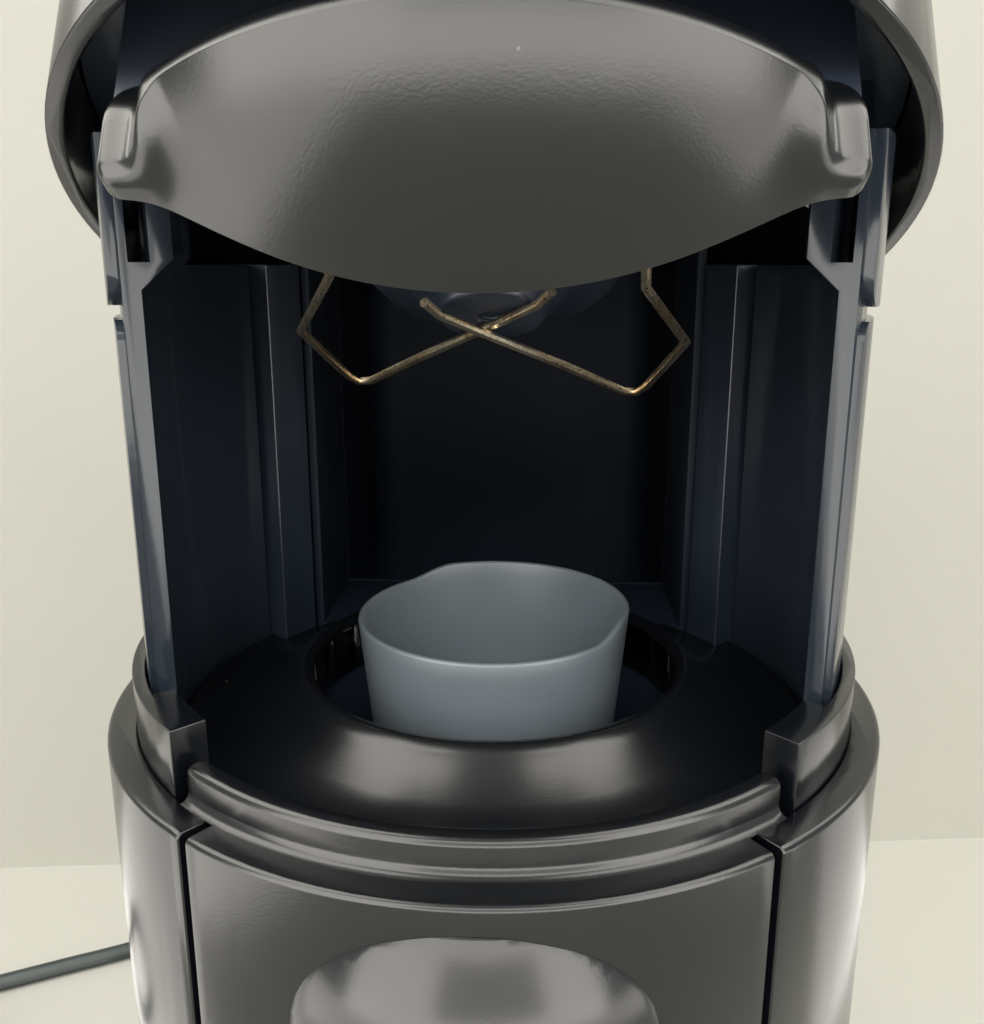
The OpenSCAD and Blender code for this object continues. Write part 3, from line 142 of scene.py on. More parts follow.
def metal(name, look):
    # drawn, brushed or cast metal: streaks along one direction and faint tarnish;
    # the real lines are about 0.05 mm apart, and are drawn coarser so that they show
    material, tree = newMaterial(name)
    place = addNode(tree, "ShaderNodeTexCoord").outputs["Object"]
    along = addNode(tree, "ShaderNodeMapping", {"Scale": look.get("stretch", (1, 1, 1))}, {"Vector": place})
    streak = addNode(tree, "ShaderNodeTexNoise",
                     {"Scale": 1 / (look["grainMm"] * mm), "Detail": 4.0, "Roughness": 0.6},
                     {"Vector": along.outputs["Vector"]})
    cloud = addNode(tree, "ShaderNodeTexNoise",
                    {"Scale": 1 / (look["driftMm"] * mm), "Detail": 5.0, "Roughness": 0.55},
                    {"Vector": place})
    tarnish = addNode(tree, "ShaderNodeMapRange",
                      {"From Min": drawn["tarnishLow"], "From Max": drawn["tarnishHigh"]},
                      {"Value": cloud.outputs["Fac"]})
    tint = addNode(tree, "ShaderNodeMix",
                   {"data_type": "RGBA", 6: hexLinear(look["colour"]), 7: hexLinear(look["second"])},
                   {0: tarnish.outputs["Result"]})
    rough = addNode(tree, "ShaderNodeMapRange",
                    {"From Min": drawn["low"], "From Max": drawn["high"],
                     "To Min": look["rough"] - look["roughDrift"],
                     "To Max": look["rough"] + look["roughDrift"]},
                    {"Value": streak.outputs["Fac"]})
    bump = addNode(tree, "ShaderNodeBump",
                   {"Strength": look["bump"], "Distance": drawn["streakDepthMm"] * mm},
                   {"Height": streak.outputs["Fac"]})
    shader = addNode(tree, "ShaderNodeBsdfPrincipled", {"Metallic": 1.0},
                     {"Base Color": tint.outputs[2], "Roughness": rough.outputs["Result"],
                      "Normal": bump.outputs["Normal"]})
    addNode(tree, "ShaderNodeOutputMaterial", None, {"Surface": shader.outputs["BSDF"]})
    return material


plastics = {
    # silky black ABS: near black, with a soft mirror sheen on the outer shells
    "silkyBlackAbs": {"colour": "0C0F14", "second": "0F1217", "rough": 0.20, "roughDrift": 0.03,
                      "grainMm": 2.0, "driftMm": 24, "bump": 0.03},
    # polished navy ABS: blue black that mirrors the room, with a faint orange peel
    "polishedNavyAbs": {"colour": "2E353F", "second": "323943", "rough": 0.14, "roughDrift": 0.03,
                        "grainMm": 2.5, "driftMm": 24, "bump": 0.02, "shine": 0.3},
    # ABS from a spark-eroded mould: charcoal with a silky sheen that draws soft highlights along each curve
    "satinMouldedAbs": {"colour": "121417", "second": "15171A", "rough": 0.22, "roughDrift": 0.02,
                        "grainMm": 0.45, "driftMm": 30, "bump": 0.10, "dust": 0.10},
    # matt black ABS: blue black, dim and even on the inner walls; the blue tint and lifted tone are painted
    # haze light, not the plastic's own black
    "mattBlackAbsPaintedHaze": {"colour": "2C3443", "second": "303948", "rough": 0.34, "roughDrift": 0.04,
                     "grainMm": 0.5, "driftMm": 20, "bump": 0.10},
    # dull black polypropylene of the bin and its chute: soaks up what light gets that far; its blue tint
    # and lifted tone are painted haze light, not the plastic's own black
    "dullPolypropylenePaintedHaze": {"colour": "232B38", "second": "262F3C", "rough": 0.62, "roughDrift": 0.05,
                          "grainMm": 0.8, "driftMm": 20, "bump": 0.10, "shine": 0.12},
    # slate polypropylene: soft blue grey with a waxy, even sheen
    "slatePolypropylene": {"colour": "757E84", "second": "7A8389", "rough": 0.40, "roughDrift": 0.03,
                           "grainMm": 0.6, "driftMm": 18, "bump": 0.05},
    # natural acetal: milky white and slightly slippery
    "naturalAcetal": {"colour": "D8D6CC", "second": "CFCDC2", "rough": 0.35, "roughDrift": 0.05,
                      "grainMm": 0.8, "driftMm": 12, "bump": 0.05},
    # cast rubber: dark, dull and a little dusty
    "castRubber": {"colour": "18191A", "second": "202122", "rough": 0.72, "roughDrift": 0.06,
                   "grainMm": 0.7, "driftMm": 9, "bump": 0.25, "dust": 0.2},
    # smoked SAN: grey, see-through tank wall
    "smokedSan": {"colour": "5A6068", "second": "545A62", "rough": 0.05, "roughDrift": 0.02,
                  "grainMm": 14.0, "driftMm": 40, "bump": 0.003, "clear": 0.75},
    # solder-masked board: green, with the glass cloth's fine bumps under the lacquer
    "solderMask": {"colour": "1C4A2C", "second": "235634", "rough": 0.30, "roughDrift": 0.08,
                   "grainMm": 0.5, "driftMm": 6, "bump": 0.15},
    # silicone hose: milky and soft
    "siliconeHose": {"colour": "C9C7BF", "second": "BDBAB0", "rough": 0.5, "roughDrift": 0.05,
                     "grainMm": 1.0, "driftMm": 10, "bump": 0.08},
    # extruded PVC cord jacket: dark grey green with a dull shine
    "extrudedPvc": {"colour": "2F3636", "second": "363E3E", "rough": 0.42, "roughDrift": 0.05,
                    "grainMm": 0.8, "driftMm": 15, "bump": 0.10},
}
metals = {
    # drawn spring steel: bright and warm, with patches of brown heat tint
    "drawnSpringSteel": {"colour": "E6DCC4", "second": "C2A682", "rough": 0.30, "roughDrift": 0.05,
                         "grainMm": 0.6, "driftMm": 7, "bump": 0.2},
    # brushed and lacquered aluminium: fine lines across the lever and the button
    "brushedAluminium": {"colour": "C9CBCC", "second": "BDBFC0", "rough": 0.26, "roughDrift": 0.06,
                         "grainMm": 0.5, "driftMm": 14, "bump": 0.25, "stretch": (0.03, 1.0, 1.0)},
    # turned brass: yellow with a trace of brown
    "turnedBrass": {"colour": "D8B66A", "second": "B08A45", "rough": 0.25, "roughDrift": 0.06,
                    "grainMm": 0.5, "driftMm": 6, "bump": 0.15},
    # die-cast aluminium: grey with a coarse, frosty skin
    "dieCastAluminium": {"colour": "9FA3A6", "second": "8B8F92", "rough": 0.48, "roughDrift": 0.08,
                         "grainMm": 1.2, "driftMm": 9, "bump": 0.5},
    # zinc-plated steel: cool and slightly clouded
    "zincPlatedSteel": {"colour": "A5A9AE", "second": "8E9298", "rough": 0.33, "roughDrift": 0.08,
                        "grainMm": 1.0, "driftMm": 5, "bump": 0.2},
}
materials = {name: plastic(name, look) for name, look in plastics.items()}
materials.update({name: metal(name, look) for name, look in metals.items()})
materialOfSlot = {"glossy_black_plastic": "silkyBlackAbs", "satin_charcoal": "satinMouldedAbs",
                  "matte_black_plastic": "mattBlackAbsPaintedHaze", "slate_plastic": "slatePolypropylene",
                  "rubber": "castRubber", "spring_steel": "drawnSpringSteel",
                  "bright_metal": "brushedAluminium", "acetal": "naturalAcetal", "brass": "turnedBrass",
                  "cast_aluminium": "dieCastAluminium", "motor_steel": "zincPlatedSteel",
                  "smoked_tank": "smokedSan", "board_green": "solderMask", "hose_silicone": "siliconeHose",
                  "cord_jacket": "extrudedPvc"}

print("stage: camera")
# lens in mm, angles in degrees, place in mm from the axis of the round body and above its shoulder
view = {"focal": 34.63, "sensor": 36, "down": 14.74, "turn": 2.4, "away": 178.9, "above": 80.3,
        "shiftX": -0.0016, "near": 10}
cameraData = bpy.data.cameras.new("viewCamera")
camera = bpy.data.objects.new("viewCamera", cameraData)
bpy.context.scene.collection.objects.link(camera)
cameraData.lens = view["focal"]
cameraData.sensor_width = view["sensor"]
cameraData.shift_x = view["shiftX"]
cameraData.clip_start = view["near"] * mm
camera.location = (view["away"] * math.sin(math.radians(view["turn"])) * mm,
                   -view["away"] * math.cos(math.radians(view["turn"])) * mm,
                   (shoulder + view["above"]) * mm)
camera.rotation_euler = (math.radians(90 - view["down"]), 0, math.radians(view["turn"]))
bpy.context.scene.camera = camera


def addObject(name, data):
    piece = bpy.data.objects.new(name, data)
    bpy.context.scene.collection.objects.link(piece)
    return piece


def meshObject(name, points, faces):
    # points are in mm
    data = bpy.data.meshes.new(name)
    data.from_pydata([tuple(c * mm for c in p) for p in points], [], faces)
    data.validate()
    return addObject(name, data)


def finishPiece(piece, node, material=None):
    # gives a piece its finish and body, and lets it stand for its CAD node
    slot = slotOf[node]
    piece.data.materials.clear()
    piece.data.materials.append(materials[material or materialOfSlot[slot]])
    piece.data.polygons.foreach_set("use_smooth", [True] * len(piece.data.polygons))
    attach(piece, bodyOf[node])
    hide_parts(node)
    return piece


def roundEdges(piece, widthMm, segments=3, angle=32):
    bevel = piece.modifiers.new("roundedEdges", "BEVEL")
    bevel.width = widthMm * mm
    bevel.segments = segments
    bevel.limit_method = "ANGLE"
    bevel.angle_limit = math.radians(angle)
    bevel.harden_normals = True


def softCopy(node, edge, material=None, angle=32):
    # the node's own shape with rounded edges, as a moulded piece has
    weldMm, flatAngle = 0.01, 0.5
    data = nodes[node].data.copy()
    data.name = node + "Skin"
    work = bmesh.new()
    work.from_mesh(data)
    bmesh.ops.remove_doubles(work, verts=work.verts, dist=weldMm * mm)
    bmesh.ops.dissolve_limit(work, angle_limit=math.radians(flatAngle), verts=work.verts, edges=work.edges)
    work.to_mesh(data)
    work.free()
    piece = addObject(node + "Skin", data)
    if edge:
        roundEdges(piece, edge, angle=angle)
    else:
        data.set_sharp_from_angle(angle=math.radians(angle))
    return finishPiece(piece, node, material)


def smoothStep(low, high, value):
    t = max(0.0, min(1.0, (value - low) / (high - low)))
    return t * t * (3 - 2 * t)


print("stage: cord")
# mains cord, in mm and degrees; the route, the coil and the tail are measured from the cord's start
cord = {"diameter": 6.8, "start": (-20, 228.3), "step": 4,
        "route": [(0, 0, 13), (0, 12, 12), (-5, 26, 9), (-17, 36, 4.4), (-36, 39, 3.4), (-58, 34, 3.4),
                  (-82, 21, 3.4), (-106, 4, 3.4), (-130, -12, 3.4), (-155, -27, 3.4), (-180, -39, 3.4),
                  (-205, -51, 3.4), (-230, -62, 3.4), (-253, -73, 3.4)],
        "coil": (-234, -114), "coilRadius": 38, "coilStep": 3,
        "joinRadius": 45.2, "joinAt": 115, "leaveAt": 985,
        "ease": 65,             # turn over which the cord swings in, climbs a layer or rolls off
        "climbs": (320, 670),   # turn after the join at which each layer starts
        "rollsOff": 120, "sinks": 62,   # turn before the end at which it rolls outwards and comes down
        "layerGap": 0.06, "outerGap": 0.35,
        "tail": [(14, -46.6, 3.4), (28, -47.6, 4.3), (40, -48.2, 6.1), (50, -48.4, 7), (60, -48.4, 7)]}
# plug: rounding of its grip in mm, edges that it takes in degrees, and the prongs' bare length in mm
plug = {"edge": 1.6, "edgeAngle": 28, "prongs": 18.9}


def curveThrough(points, step):
    # an even, smooth run of points through the given ones
    result = []
    padded = [points[0]] + list(points) + [points[-1]]
    for a, b, c, d in zip(padded, padded[1:], padded[2:], padded[3:]):
        count = max(2, int((Vector(c) - Vector(b)).length / step))
        for i in range(count):
            t = i / count
            result.append(tuple(
                0.5 * (2 * q + (r - p) * t + (2 * p - 5 * q + 4 * r - s) * t * t
                       + (3 * q - p - 3 * r + s) * t ** 3) for p, q, r, s in zip(a, b, c, d)))
    return result + [tuple(points[-1])]


def coilPoints():
    radius, low = cord["coilRadius"], cord["diameter"] / 2
    layer = cord["diameter"] + cord["layerGap"]
    start, end, ease = cord["joinAt"], cord["leaveAt"], cord["ease"]
    result = []
    for angle in range(start, end + 1, cord["coilStep"]):
        r = radius + (cord["joinRadius"] - radius) * (1 - smoothStep(start, start + ease, angle))
        climbed = sum(smoothStep(start + climb, start + climb + ease, angle) for climb in cord["climbs"])
        z = low + layer * climbed
        if angle > end - cord["rollsOff"]:
            # from the top of the turn below to its outer side, then down to the table
            off = end - cord["rollsOff"]
            around = math.pi / 2 * (1 - smoothStep(off, off + ease, angle))
            r = radius + (layer + cord["outerGap"]) * math.cos(around)
            z = low + layer + layer * math.sin(around) - layer * smoothStep(end - cord["sinks"], end, angle)
        result.append((cord["coil"][0] + r * math.cos(math.radians(angle)),
                       cord["coil"][1] + r * math.sin(math.radians(angle)), z))
    return result


def buildCord():
    line = curveThrough(cord["route"], cord["step"])
    line += coilPoints()[1:]
    tail = [(cord["coil"][0] + x, cord["coil"][1] + y, z) for x, y, z in cord["tail"]]
    line += curveThrough([line[-1]] + tail, cord["step"])[1:]
    line = [((x + cord["start"][0]) * mm, (y + cord["start"][1]) * mm, z * mm) for x, y, z in line]
    length = sum((Vector(b) - Vector(a)).length for a, b in zip(line, line[1:]))
    print("cord length", round(length, 3))
    data = bpy.data.curves.new("mainsCordJacket", "CURVE")
    data.dimensions = "3D"
    spline = data.splines.new("POLY")
    spline.points.add(len(line) - 1)
    for point, place in zip(spline.points, line):
        point.co = (*place, 1)
    data.bevel_depth = cord["diameter"] / 2 * mm
    data.bevel_resolution = 6
    data.use_fill_caps = True
    jacket = addObject("mainsCordJacket", data)
    jacket.data.materials.append(materials["extrudedPvc"])
    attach(jacket, "machine")
    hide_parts("mains_cord", "cord_coil")
    return jacket, line[0], length


def buildPlug():
    # a soft-edged grip with bare steel prongs
    piece = softCopy("mains_plug", plug["edge"], "mattBlackAbsPaintedHaze", plug["edgeAngle"])
    piece.data.materials.append(materials["zincPlatedSteel"])
    corners = piece.data.vertices
    gripEnd = max(v.co.x for v in corners) - plug["prongs"] * mm
    for face in piece.data.polygons:
        if face.center.x > gripEnd and all(corners[i].co.x > gripEnd for i in face.vertices):
            face.material_index = 1
    return piece


cordJacket, cordExit, cordLength = buildCord()
buildPlug()

print("stage: chin")
# the open head: its hinge's height above the shoulder, how far the hinge stands in front of the machine's
# axis and above the head's rim, in mm, and the tilt in degrees
head = {"hinge": 90.75, "front": 10, "rise": 1.65, "tilt": 28.4}
# chin plate under the head, in the head's frame, in mm and degrees
chin = {"edgeRadius": 64.5, "ballRadius": 80.6, "ballCentre": 38.99, "cut": 39, "thickness": 2.4,
        "rollRadius": 4.2, "rollTurn": 100, "wallRise": 0.4, "endGap": 0.6, "edge": 0.5, "edgeAngle": 50,
        # ears: depth and rounding, the azimuths over which they form, and the block that squares them off;
        # blockLeast is the smallest azimuth that the block is worked out for
        "earDepth": 17.7, "earCorner": 3.2, "earRoll": 8.4, "earFrom": 36, "earTo": 47, "earSoft": 3.0,
        "earFront": 43.2, "earSide": 49.8, "blockFrom": 40, "blockTo": 50, "blockSoft": 1.6,
        "blockLeast": 20,
        # mesh: steps round the plate, over its skin, up its wall and round its rolled edge, and how much
        # closer the skin's rows stand near the edge
        "columns": 220, "rows": 44, "wallRows": 6, "rollRows": 12, "crowding": 1.6}


def headToRow(x, y, z):
    # from the head's own frame to the machine's, in mm
    t = math.radians(head["tilt"])
    dy, dz = y + head["front"], z - head["rise"]
    return (x, -head["front"] + dy * math.cos(t) + dz * math.sin(t),
            shoulder + head["hinge"] - dy * math.sin(t) + dz * math.cos(t))


def softMin(a, b, soft):
    return 0.5 * (a + b - math.sqrt((a - b) ** 2 + soft * soft))


def chinBall(r):
    return chin["ballCentre"] - math.sqrt(chin["ballRadius"] ** 2 - r * r)


def earWeight(side):
    return smoothStep(chin["earFrom"], chin["earTo"], abs(side))


def chinEdge(side):
    # radius of the chin's outer wall: round in front, with a square ear at each side
    turn = math.radians(max(chin["blockLeast"], abs(side)))
    block = softMin(chin["earFront"] / math.cos(turn), chin["earSide"] / math.sin(turn), chin["blockSoft"])
    square = smoothStep(chin["blockFrom"], chin["blockTo"], abs(side))
    return chin["edgeRadius"] + (block - chin["edgeRadius"]) * square


def chinPoint(r, side):
    # depth of the chin's skin below the rim at one radius; side is the azimuth in degrees
    ball = chinBall(r)
    ear, corner = -chin["earDepth"], chin["earCorner"]
    inset = chinEdge(side) - r
    if inset < corner:
        ear += corner - math.sqrt(max(0, corner ** 2 - (corner - inset) ** 2))
    return ball + (softMin(ball, ear, chin["earSoft"]) - ball) * earWeight(side)


def chinLine(side):
    # one upright section: over the skin, up the wall and round the rolled edge, as radius and height
    inner = chin["cut"] / math.cos(math.radians(side))
    edge = chinEdge(side)
    rollRadius = chin["rollRadius"] + (chin["earRoll"] - chin["rollRadius"]) * earWeight(side)
    line = []
    for j in range(chin["rows"] + 1):
        r = inner + (edge - inner) * (1 - (1 - j / chin["rows"]) ** chin["crowding"])
        line.append((r, chinPoint(r, side)))
    low = line[-1][1]
    top = chinBall(chin["edgeRadius"]) + chin["wallRise"]
    for j in range(1, chin["wallRows"] + 1):
        line.append((edge, low + (top - low) * j / chin["wallRows"]))
    for j in range(1, chin["rollRows"] + 1):
        a = math.radians(chin["rollTurn"] * j / chin["rollRows"])
        line.append((edge - rollRadius * (1 - math.cos(a)), top + rollRadius * math.sin(a)))
    return line


def buildChin():
    limit = math.degrees(math.atan2(chin["earSide"], chin["cut"])) - chin["endGap"]
    points, faces = [], []
    for i in range(chin["columns"] + 1):
        side = -limit + 2 * limit * i / chin["columns"]
        line = chinLine(side)
        for r, z in line:
            points.append(headToRow(r * math.sin(math.radians(side)), -r * math.cos(math.radians(side)), z))
    across = len(line)
    for i in range(chin["columns"]):
        for j in range(across - 1):
            a = i * across + j
            faces.append((a, a + across, a + across + 1, a + 1))
    piece = meshObject("chinPlate", points, faces)
    solid = piece.modifiers.new("wall", "SOLIDIFY")
    solid.thickness = chin["thickness"] * mm
    solid.offset = -1
    roundEdges(piece, chin["edge"], 2, chin["edgeAngle"])
    finishPiece(piece, "head_cover")


buildChin()

print("stage: pod holder")
# rim height and floor depth from the shoulder, in mm; lowAt is the side where the rim is low, in degrees
cup = {"radius": 25.9, "footRadius": 22, "wall": 1.2, "high": 15.6, "ramp": 2, "rampRun": 11, "floor": 26,
       "floorThickness": 2, "footRound": 3, "lowAt": 227, "turns": 144, "middle": 0.01, "weldMm": 0.05,
       # arcs in radians, and rows of the outer and inner wall as shares of its height
       "footArc": (0.4, 0.8, 1.2, 1.57), "lipArc": (0, 0.52, 1.05, 1.57, 2.09, 2.62, 3.14),
       "outerRows": (0.2, 0.4, 0.6, 0.8, 0.93), "innerRows": (0.93, 0.75, 0.5, 0.25, 0),
       # the inner corner: inset from the wall and height above the floor, from the wall to the floor
       "innerRise": 3, "innerCorner": [(1, 0.8), (2.8, 0)]}


def cupRim(angle):
    # the rim is low on one side and climbs by a short ramp to its high side
    along = cup["radius"] * math.cos(math.radians(angle - cup["lowAt"]))
    return cup["high"] - cup["ramp"] + cup["ramp"] * smoothStep(0, cup["rampRun"], -along)


def cupLine(rim, lip):
    # the cup's section, as radius and height: under the foot, up outside, over the lip and down inside
    flare = cup["radius"] - cup["footRadius"]
    base = -cup["floor"] - cup["floorThickness"]
    foot, footTop = cup["footRound"], base + cup["footRound"]
    inside, insideLow = cup["footRadius"] - cup["wall"], -cup["floor"] + cup["innerRise"]
    line = [(cup["middle"], base), (cup["footRadius"] - foot, base)]
    line += [(cup["footRadius"] - foot + foot * math.sin(a), footTop - foot * math.cos(a))
             for a in cup["footArc"]]
    line += [(cup["footRadius"] + flare * t, footTop + (rim - footTop) * t) for t in cup["outerRows"]]
    line += [(cup["radius"] - lip + lip * math.cos(a), rim + lip * math.sin(a)) for a in cup["lipArc"]]
    line += [(inside + flare * t, insideLow + (rim - insideLow) * t) for t in cup["innerRows"]]
    line += [(inside - inset, -cup["floor"] + above) for inset, above in cup["innerCorner"]]
    return line + [(cup["middle"], -cup["floor"])]


def buildCup():
    lip = cup["wall"] / 2
    points, faces = [], []
    for i in range(cup["turns"]):
        angle = 360 * i / cup["turns"]
        line = cupLine(cupRim(angle) - lip, lip)
        turn = math.radians(angle)
        points += [(r * math.cos(turn), r * math.sin(turn), shoulder + z) for r, z in line]
    across = len(line)
    for i in range(cup["turns"]):
        for j in range(across - 1):
            a, b = i * across + j, (i + 1) % cup["turns"] * across + j
            faces.append((a, b, b + 1, a + 1))
    piece = meshObject("podCup", points, faces)
    work = bmesh.new()
    work.from_mesh(piece.data)
    bmesh.ops.remove_doubles(work, verts=work.verts, dist=cup["weldMm"] * mm)
    bmesh.ops.recalc_face_normals(work, faces=work.faces)
    work.to_mesh(piece.data)
    work.free()
    finishPiece(piece, "pod_holder")


buildCup()

print("stage: shells")
# width of each piece's rounded edges, in mm
edges = {"side_shell_left": 0.35, "side_shell_right": 0.35, "guard_ring": 1.3, "front_cover": 0.2,
         "deck_dish": 0.4, "spout_cover": 0.15, "head_shell": 0.7, "lift_column_left": 0.4,
         "lift_column_right": 0.4, "head_arm_left": 0.4, "head_arm_right": 0.4, "rear_hood": 0.5,
         "rear_shell": 0.5, "base_shell": 0.5, "drip_tray": 0.6, "drip_grid": 0.3, "column_front": 0.4,
         "coffee_spout": 0.4, "used_pod_bin": 0.6, "bin_handle": 0.8, "pod_chute": 0.4, "water_tank": 0.9,
         "tank_lid": 0.8, "strain_relief": 0.5, "opening_lever": 0.5, "start_button": 0.6, "brew_hub": 0.5,
         "head_frame": 0.4, "collector_bowl": 0.4, "rubber_feet": 0.4, "base_plate": 0.3, "hinge_pins": 0.3,
         "unit_floor": 0.3, "guide_frame": 0.3, "holder_spindle": 0.3, "spin_motor": 0.5,
         "lift_gearmotor": 0.5, "water_pump": 0.6, "boiler": 0.8, "control_board": 0.2, "lift_yoke": 0.3,
         "motor_pulley": 0.3, "tank_valve": 0.3, "tank_seal": 0.4, "holder_bearing": 0.2, "drive_belt": 0.2,
         "case_screws": 0.15, "water_pipes": 0, "coffee_duct": 0.3, "lift_rack": 0.1, "lift_pinion": 0.1,
         "button_spring": 0, "ejector_wire_left": 0, "ejector_wire_right": 0}
# pieces whose finish isn't the one that most pieces of their slot have
ownFinish = {"used_pod_bin": "dullPolypropylenePaintedHaze", "pod_chute": "dullPolypropylenePaintedHaze",
             "lift_column_left": "polishedNavyAbs", "lift_column_right": "polishedNavyAbs",
             "head_arm_left": "polishedNavyAbs", "head_arm_right": "polishedNavyAbs"}
skins = {node: softCopy(node, edge, ownFinish.get(node)) for node, edge in edges.items()}


def squashSpring(spring):
    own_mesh(spring)


squashSpring(skins["button_spring"])

print("stage: room")
# table edges, wall ends and wall height in mm; the paint's darker patches have a share of its colour
room = {"table": "D3D1C7", "tableRough": 0.55, "wall": "CFCDC3", "wallRough": 0.7, "paintDriftMm": 90,
        "darker": 0.97, "side": 1800, "front": -900, "back": 2700, "high": 1800,
        "wallLeft": (-271, 264), "wallRight": (259, 314), "wallRuns": 3}


def surface(name, points, colour, rough):
    # a painted sheet, clear from behind so that it hides nothing
    piece = meshObject(name, points, [tuple(range(len(points)))])
    material, tree = newMaterial(name + "Paint")
    place = addNode(tree, "ShaderNodeTexCoord").outputs["Object"]
    drift = addNode(tree, "ShaderNodeTexNoise",
                    {"Scale": 1 / (room["paintDriftMm"] * mm), "Detail": 4.0, "Roughness": 0.55},
                    {"Vector": place})
    paint = hexLinear(colour)
    darker = tuple(c * room["darker"] for c in paint[:3]) + (1.0,)
    tint = addNode(tree, "ShaderNodeMix", {"data_type": "RGBA", 6: paint, 7: darker},
                   {0: drift.outputs["Fac"]})
    shader = addNode(tree, "ShaderNodeBsdfPrincipled", {"Roughness": rough, "Specular IOR Level": 0.0},
                     {"Base Color": tint.outputs[2]})
    facing = addNode(tree, "ShaderNodeNewGeometry")
    clear = addNode(tree, "ShaderNodeBsdfTransparent")
    oneSided = addNode(tree, "ShaderNodeMixShader", None,
                       {0: facing.outputs["Backfacing"], 1: shader.outputs["BSDF"],
                        2: clear.outputs["BSDF"]})
    addNode(tree, "ShaderNodeOutputMaterial", None, {"Surface": oneSided.outputs["Shader"]})
    piece.data.materials.append(material)


wallRun = Vector(room["wallRight"]) - Vector(room["wallLeft"])
wallFar = Vector(room["wallLeft"]) - wallRun * room["wallRuns"]
wallNear = Vector(room["wallRight"]) + wallRun * room["wallRuns"]
surface("table", [(-room["side"], room["front"], 0), (room["side"], room["front"], 0),
                  (room["side"], room["back"], 0), (-room["side"], room["back"], 0)],
        room["table"], room["tableRough"])
surface("backWall", [(*wallFar, 0), (*wallNear, 0), (*wallNear, room["high"]), (*wallFar, room["high"])],
        room["wall"], room["wallRough"])

# pale cards round the machine, seen only in reflections: they draw the soft highlights on the satin covers
cards = {
    # name: corners in mm, strength
    "cardLeft": ([(-1500, -880, 2), (-450, -880, 2), (-390, -60, 2), (-1500, -60, 2)], 4.2),
    "cardRight": ([(580, -880, 2), (1500, -880, 2), (1500, -60, 2), (540, -60, 2)], 3.6),
    "cardBesideLeft": ([(-900, -60, 3), (-190, -60, 3), (-180, 220, 3), (-900, 220, 3)], 2.0),
    "cardBesideRight": ([(900, 50, 3), (210, 50, 3), (200, 260, 3), (900, 260, 3)], 1.8),
    "cardHighLeft": ([(-900, -320, 900), (-150, -320, 900), (-150, 200, 900), (-900, 200, 900)], 6.5),
    "cardHighRight": ([(150, -320, 900), (900, -320, 900), (900, 235, 900), (150, 235, 900)], 5.8),
    "cardWallLeft": ([(-1000, 170, 560), (-230, 235, 560), (-230, 235, 900), (-1000, 170, 900)], 5.0),
    "cardWallRight": ([(230, 260, 560), (1000, 330, 560), (1000, 330, 900), (230, 260, 900)], 4.0),
}
# upright strips of the round card in front: from and to angle in degrees, low and high edge in mm, strength
frontCards = {
    "cardFrontLow": (-62, 62, -60, 260, 7.4),
    "cardFrontLeft": (-62, -18, 260, 1000, 7.0),
    "cardFrontRight": (32, 62, 260, 1000, 7.0),
    "cardFrontMiddle": (-18, 32, 260, 1000, 2.6),
    "cardFrontHigh": (-62, 62, 1000, 1600, 6.5),
}
cardLook = {"colour": "FFFBF2", "frontRadius": 1200, "frontSteps": 6}
for name, (fromAngle, toAngle, low, high, strength) in frontCards.items():
    steps = cardLook["frontSteps"]
    around = [math.radians(fromAngle + (toAngle - fromAngle) * i / steps) for i in range(steps + 1)]
    run = [(cardLook["frontRadius"] * math.sin(a), -cardLook["frontRadius"] * math.cos(a)) for a in around]
    cards[name] = ([(x, y, low) for x, y in run] + [(x, y, high) for x, y in reversed(run)], strength)
for name, (corners, strength) in cards.items():
    count = len(corners)
    strips = [(i, i + 1, count - i - 2, count - i - 1) for i in range(count // 2 - 1)]
    piece = meshObject(name, corners, strips)
    material, tree = newMaterial(name + "Glow")
    glow = addNode(tree, "ShaderNodeEmission",
                   {"Color": hexLinear(cardLook["colour"]), "Strength": strength})
    addNode(tree, "ShaderNodeOutputMaterial", None, {"Surface": glow.outputs["Emission"]})
    piece.data.materials.append(material)
    piece.visible_camera = piece.visible_diffuse = piece.visible_shadow = False

print("stage: light")
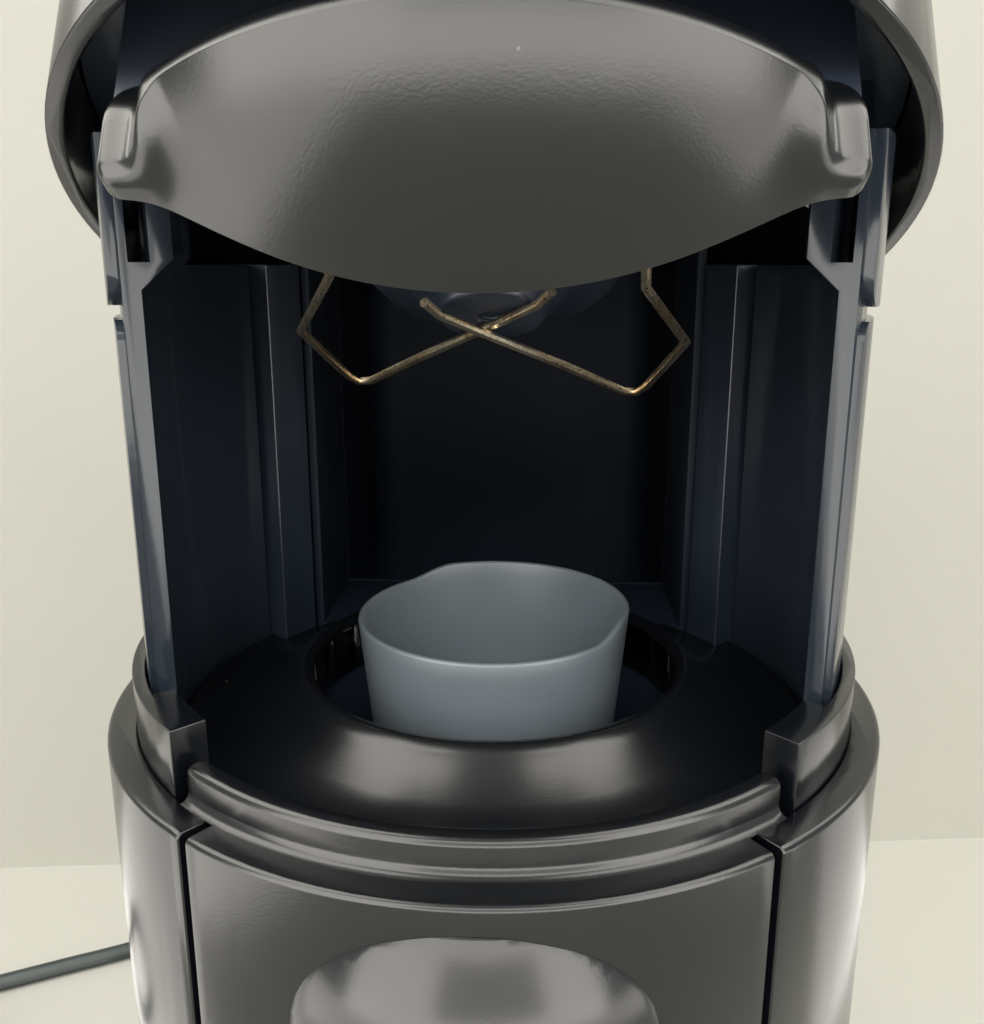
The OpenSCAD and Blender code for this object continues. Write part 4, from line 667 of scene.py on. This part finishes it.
# the world is pale above and dim below the horizon, and evenly pale to the eye
sky = {"colour": "EAE9E5", "pale": 0.88, "dim": 0.1, "dimTo": -0.35, "paleFrom": -0.05}
world = bpy.data.worlds.new("paleRoom")
bpy.context.scene.world = world
world.use_nodes = True
tree = world.node_tree
tree.nodes.clear()
away = addNode(tree, "ShaderNodeTexCoord").outputs["Generated"]
axes = addNode(tree, "ShaderNodeSeparateXYZ", None, {"Vector": away})
height = addNode(tree, "ShaderNodeMapRange",
                 {"From Min": sky["dimTo"], "From Max": sky["paleFrom"], "To Min": sky["dim"],
                  "To Max": sky["pale"]}, {"Value": axes.outputs["Z"]})
ray = addNode(tree, "ShaderNodeLightPath")
seen = addNode(tree, "ShaderNodeMath", {"operation": "MULTIPLY", 1: sky["pale"]},
               {0: ray.outputs["Is Camera Ray"]})
bright = addNode(tree, "ShaderNodeMath", {"operation": "MAXIMUM"},
                 {0: height.outputs["Result"], 1: seen.outputs["Value"]})
glow = addNode(tree, "ShaderNodeBackground", {"Color": hexLinear(sky["colour"])},
               {"Strength": bright.outputs["Value"]})
addNode(tree, "ShaderNodeOutputWorld", None, {"Surface": glow.outputs["Background"]})

lampColour = (1.0, 0.995, 0.985)
lamps = {
    # name: place, aim, width and depth in mm, power in watts
    "overhead": ((0, -80, 1500), (0, 0, 220), 800, 500, 8.2),
    "frontHigh": ((0, -1600, 1300), (0, 0, 250), 1200, 700, 14.2),
    "sideLeft": ((-1050, -560, 520), (0, -60, 250), 500, 500, 3.2),
    "sideRight": ((1050, -480, 520), (0, -60, 250), 500, 500, 2.4),
}
for name, (place, aim, width, depth, power) in lamps.items():
    data = bpy.data.lights.new(name, "AREA")
    data.shape = "RECTANGLE"
    data.size = width * mm
    data.size_y = depth * mm
    data.energy = power
    data.color = lampColour
    lamp = addObject(name, data)
    lamp.visible_camera = False
    lamp.visible_glossy = False
    lamp.location = [c * mm for c in place]
    lamp.rotation_euler = (Vector(aim) - Vector(place)).to_track_quat("-Z", "Y").to_euler()

bpy.context.scene.view_settings.view_transform = "Standard"
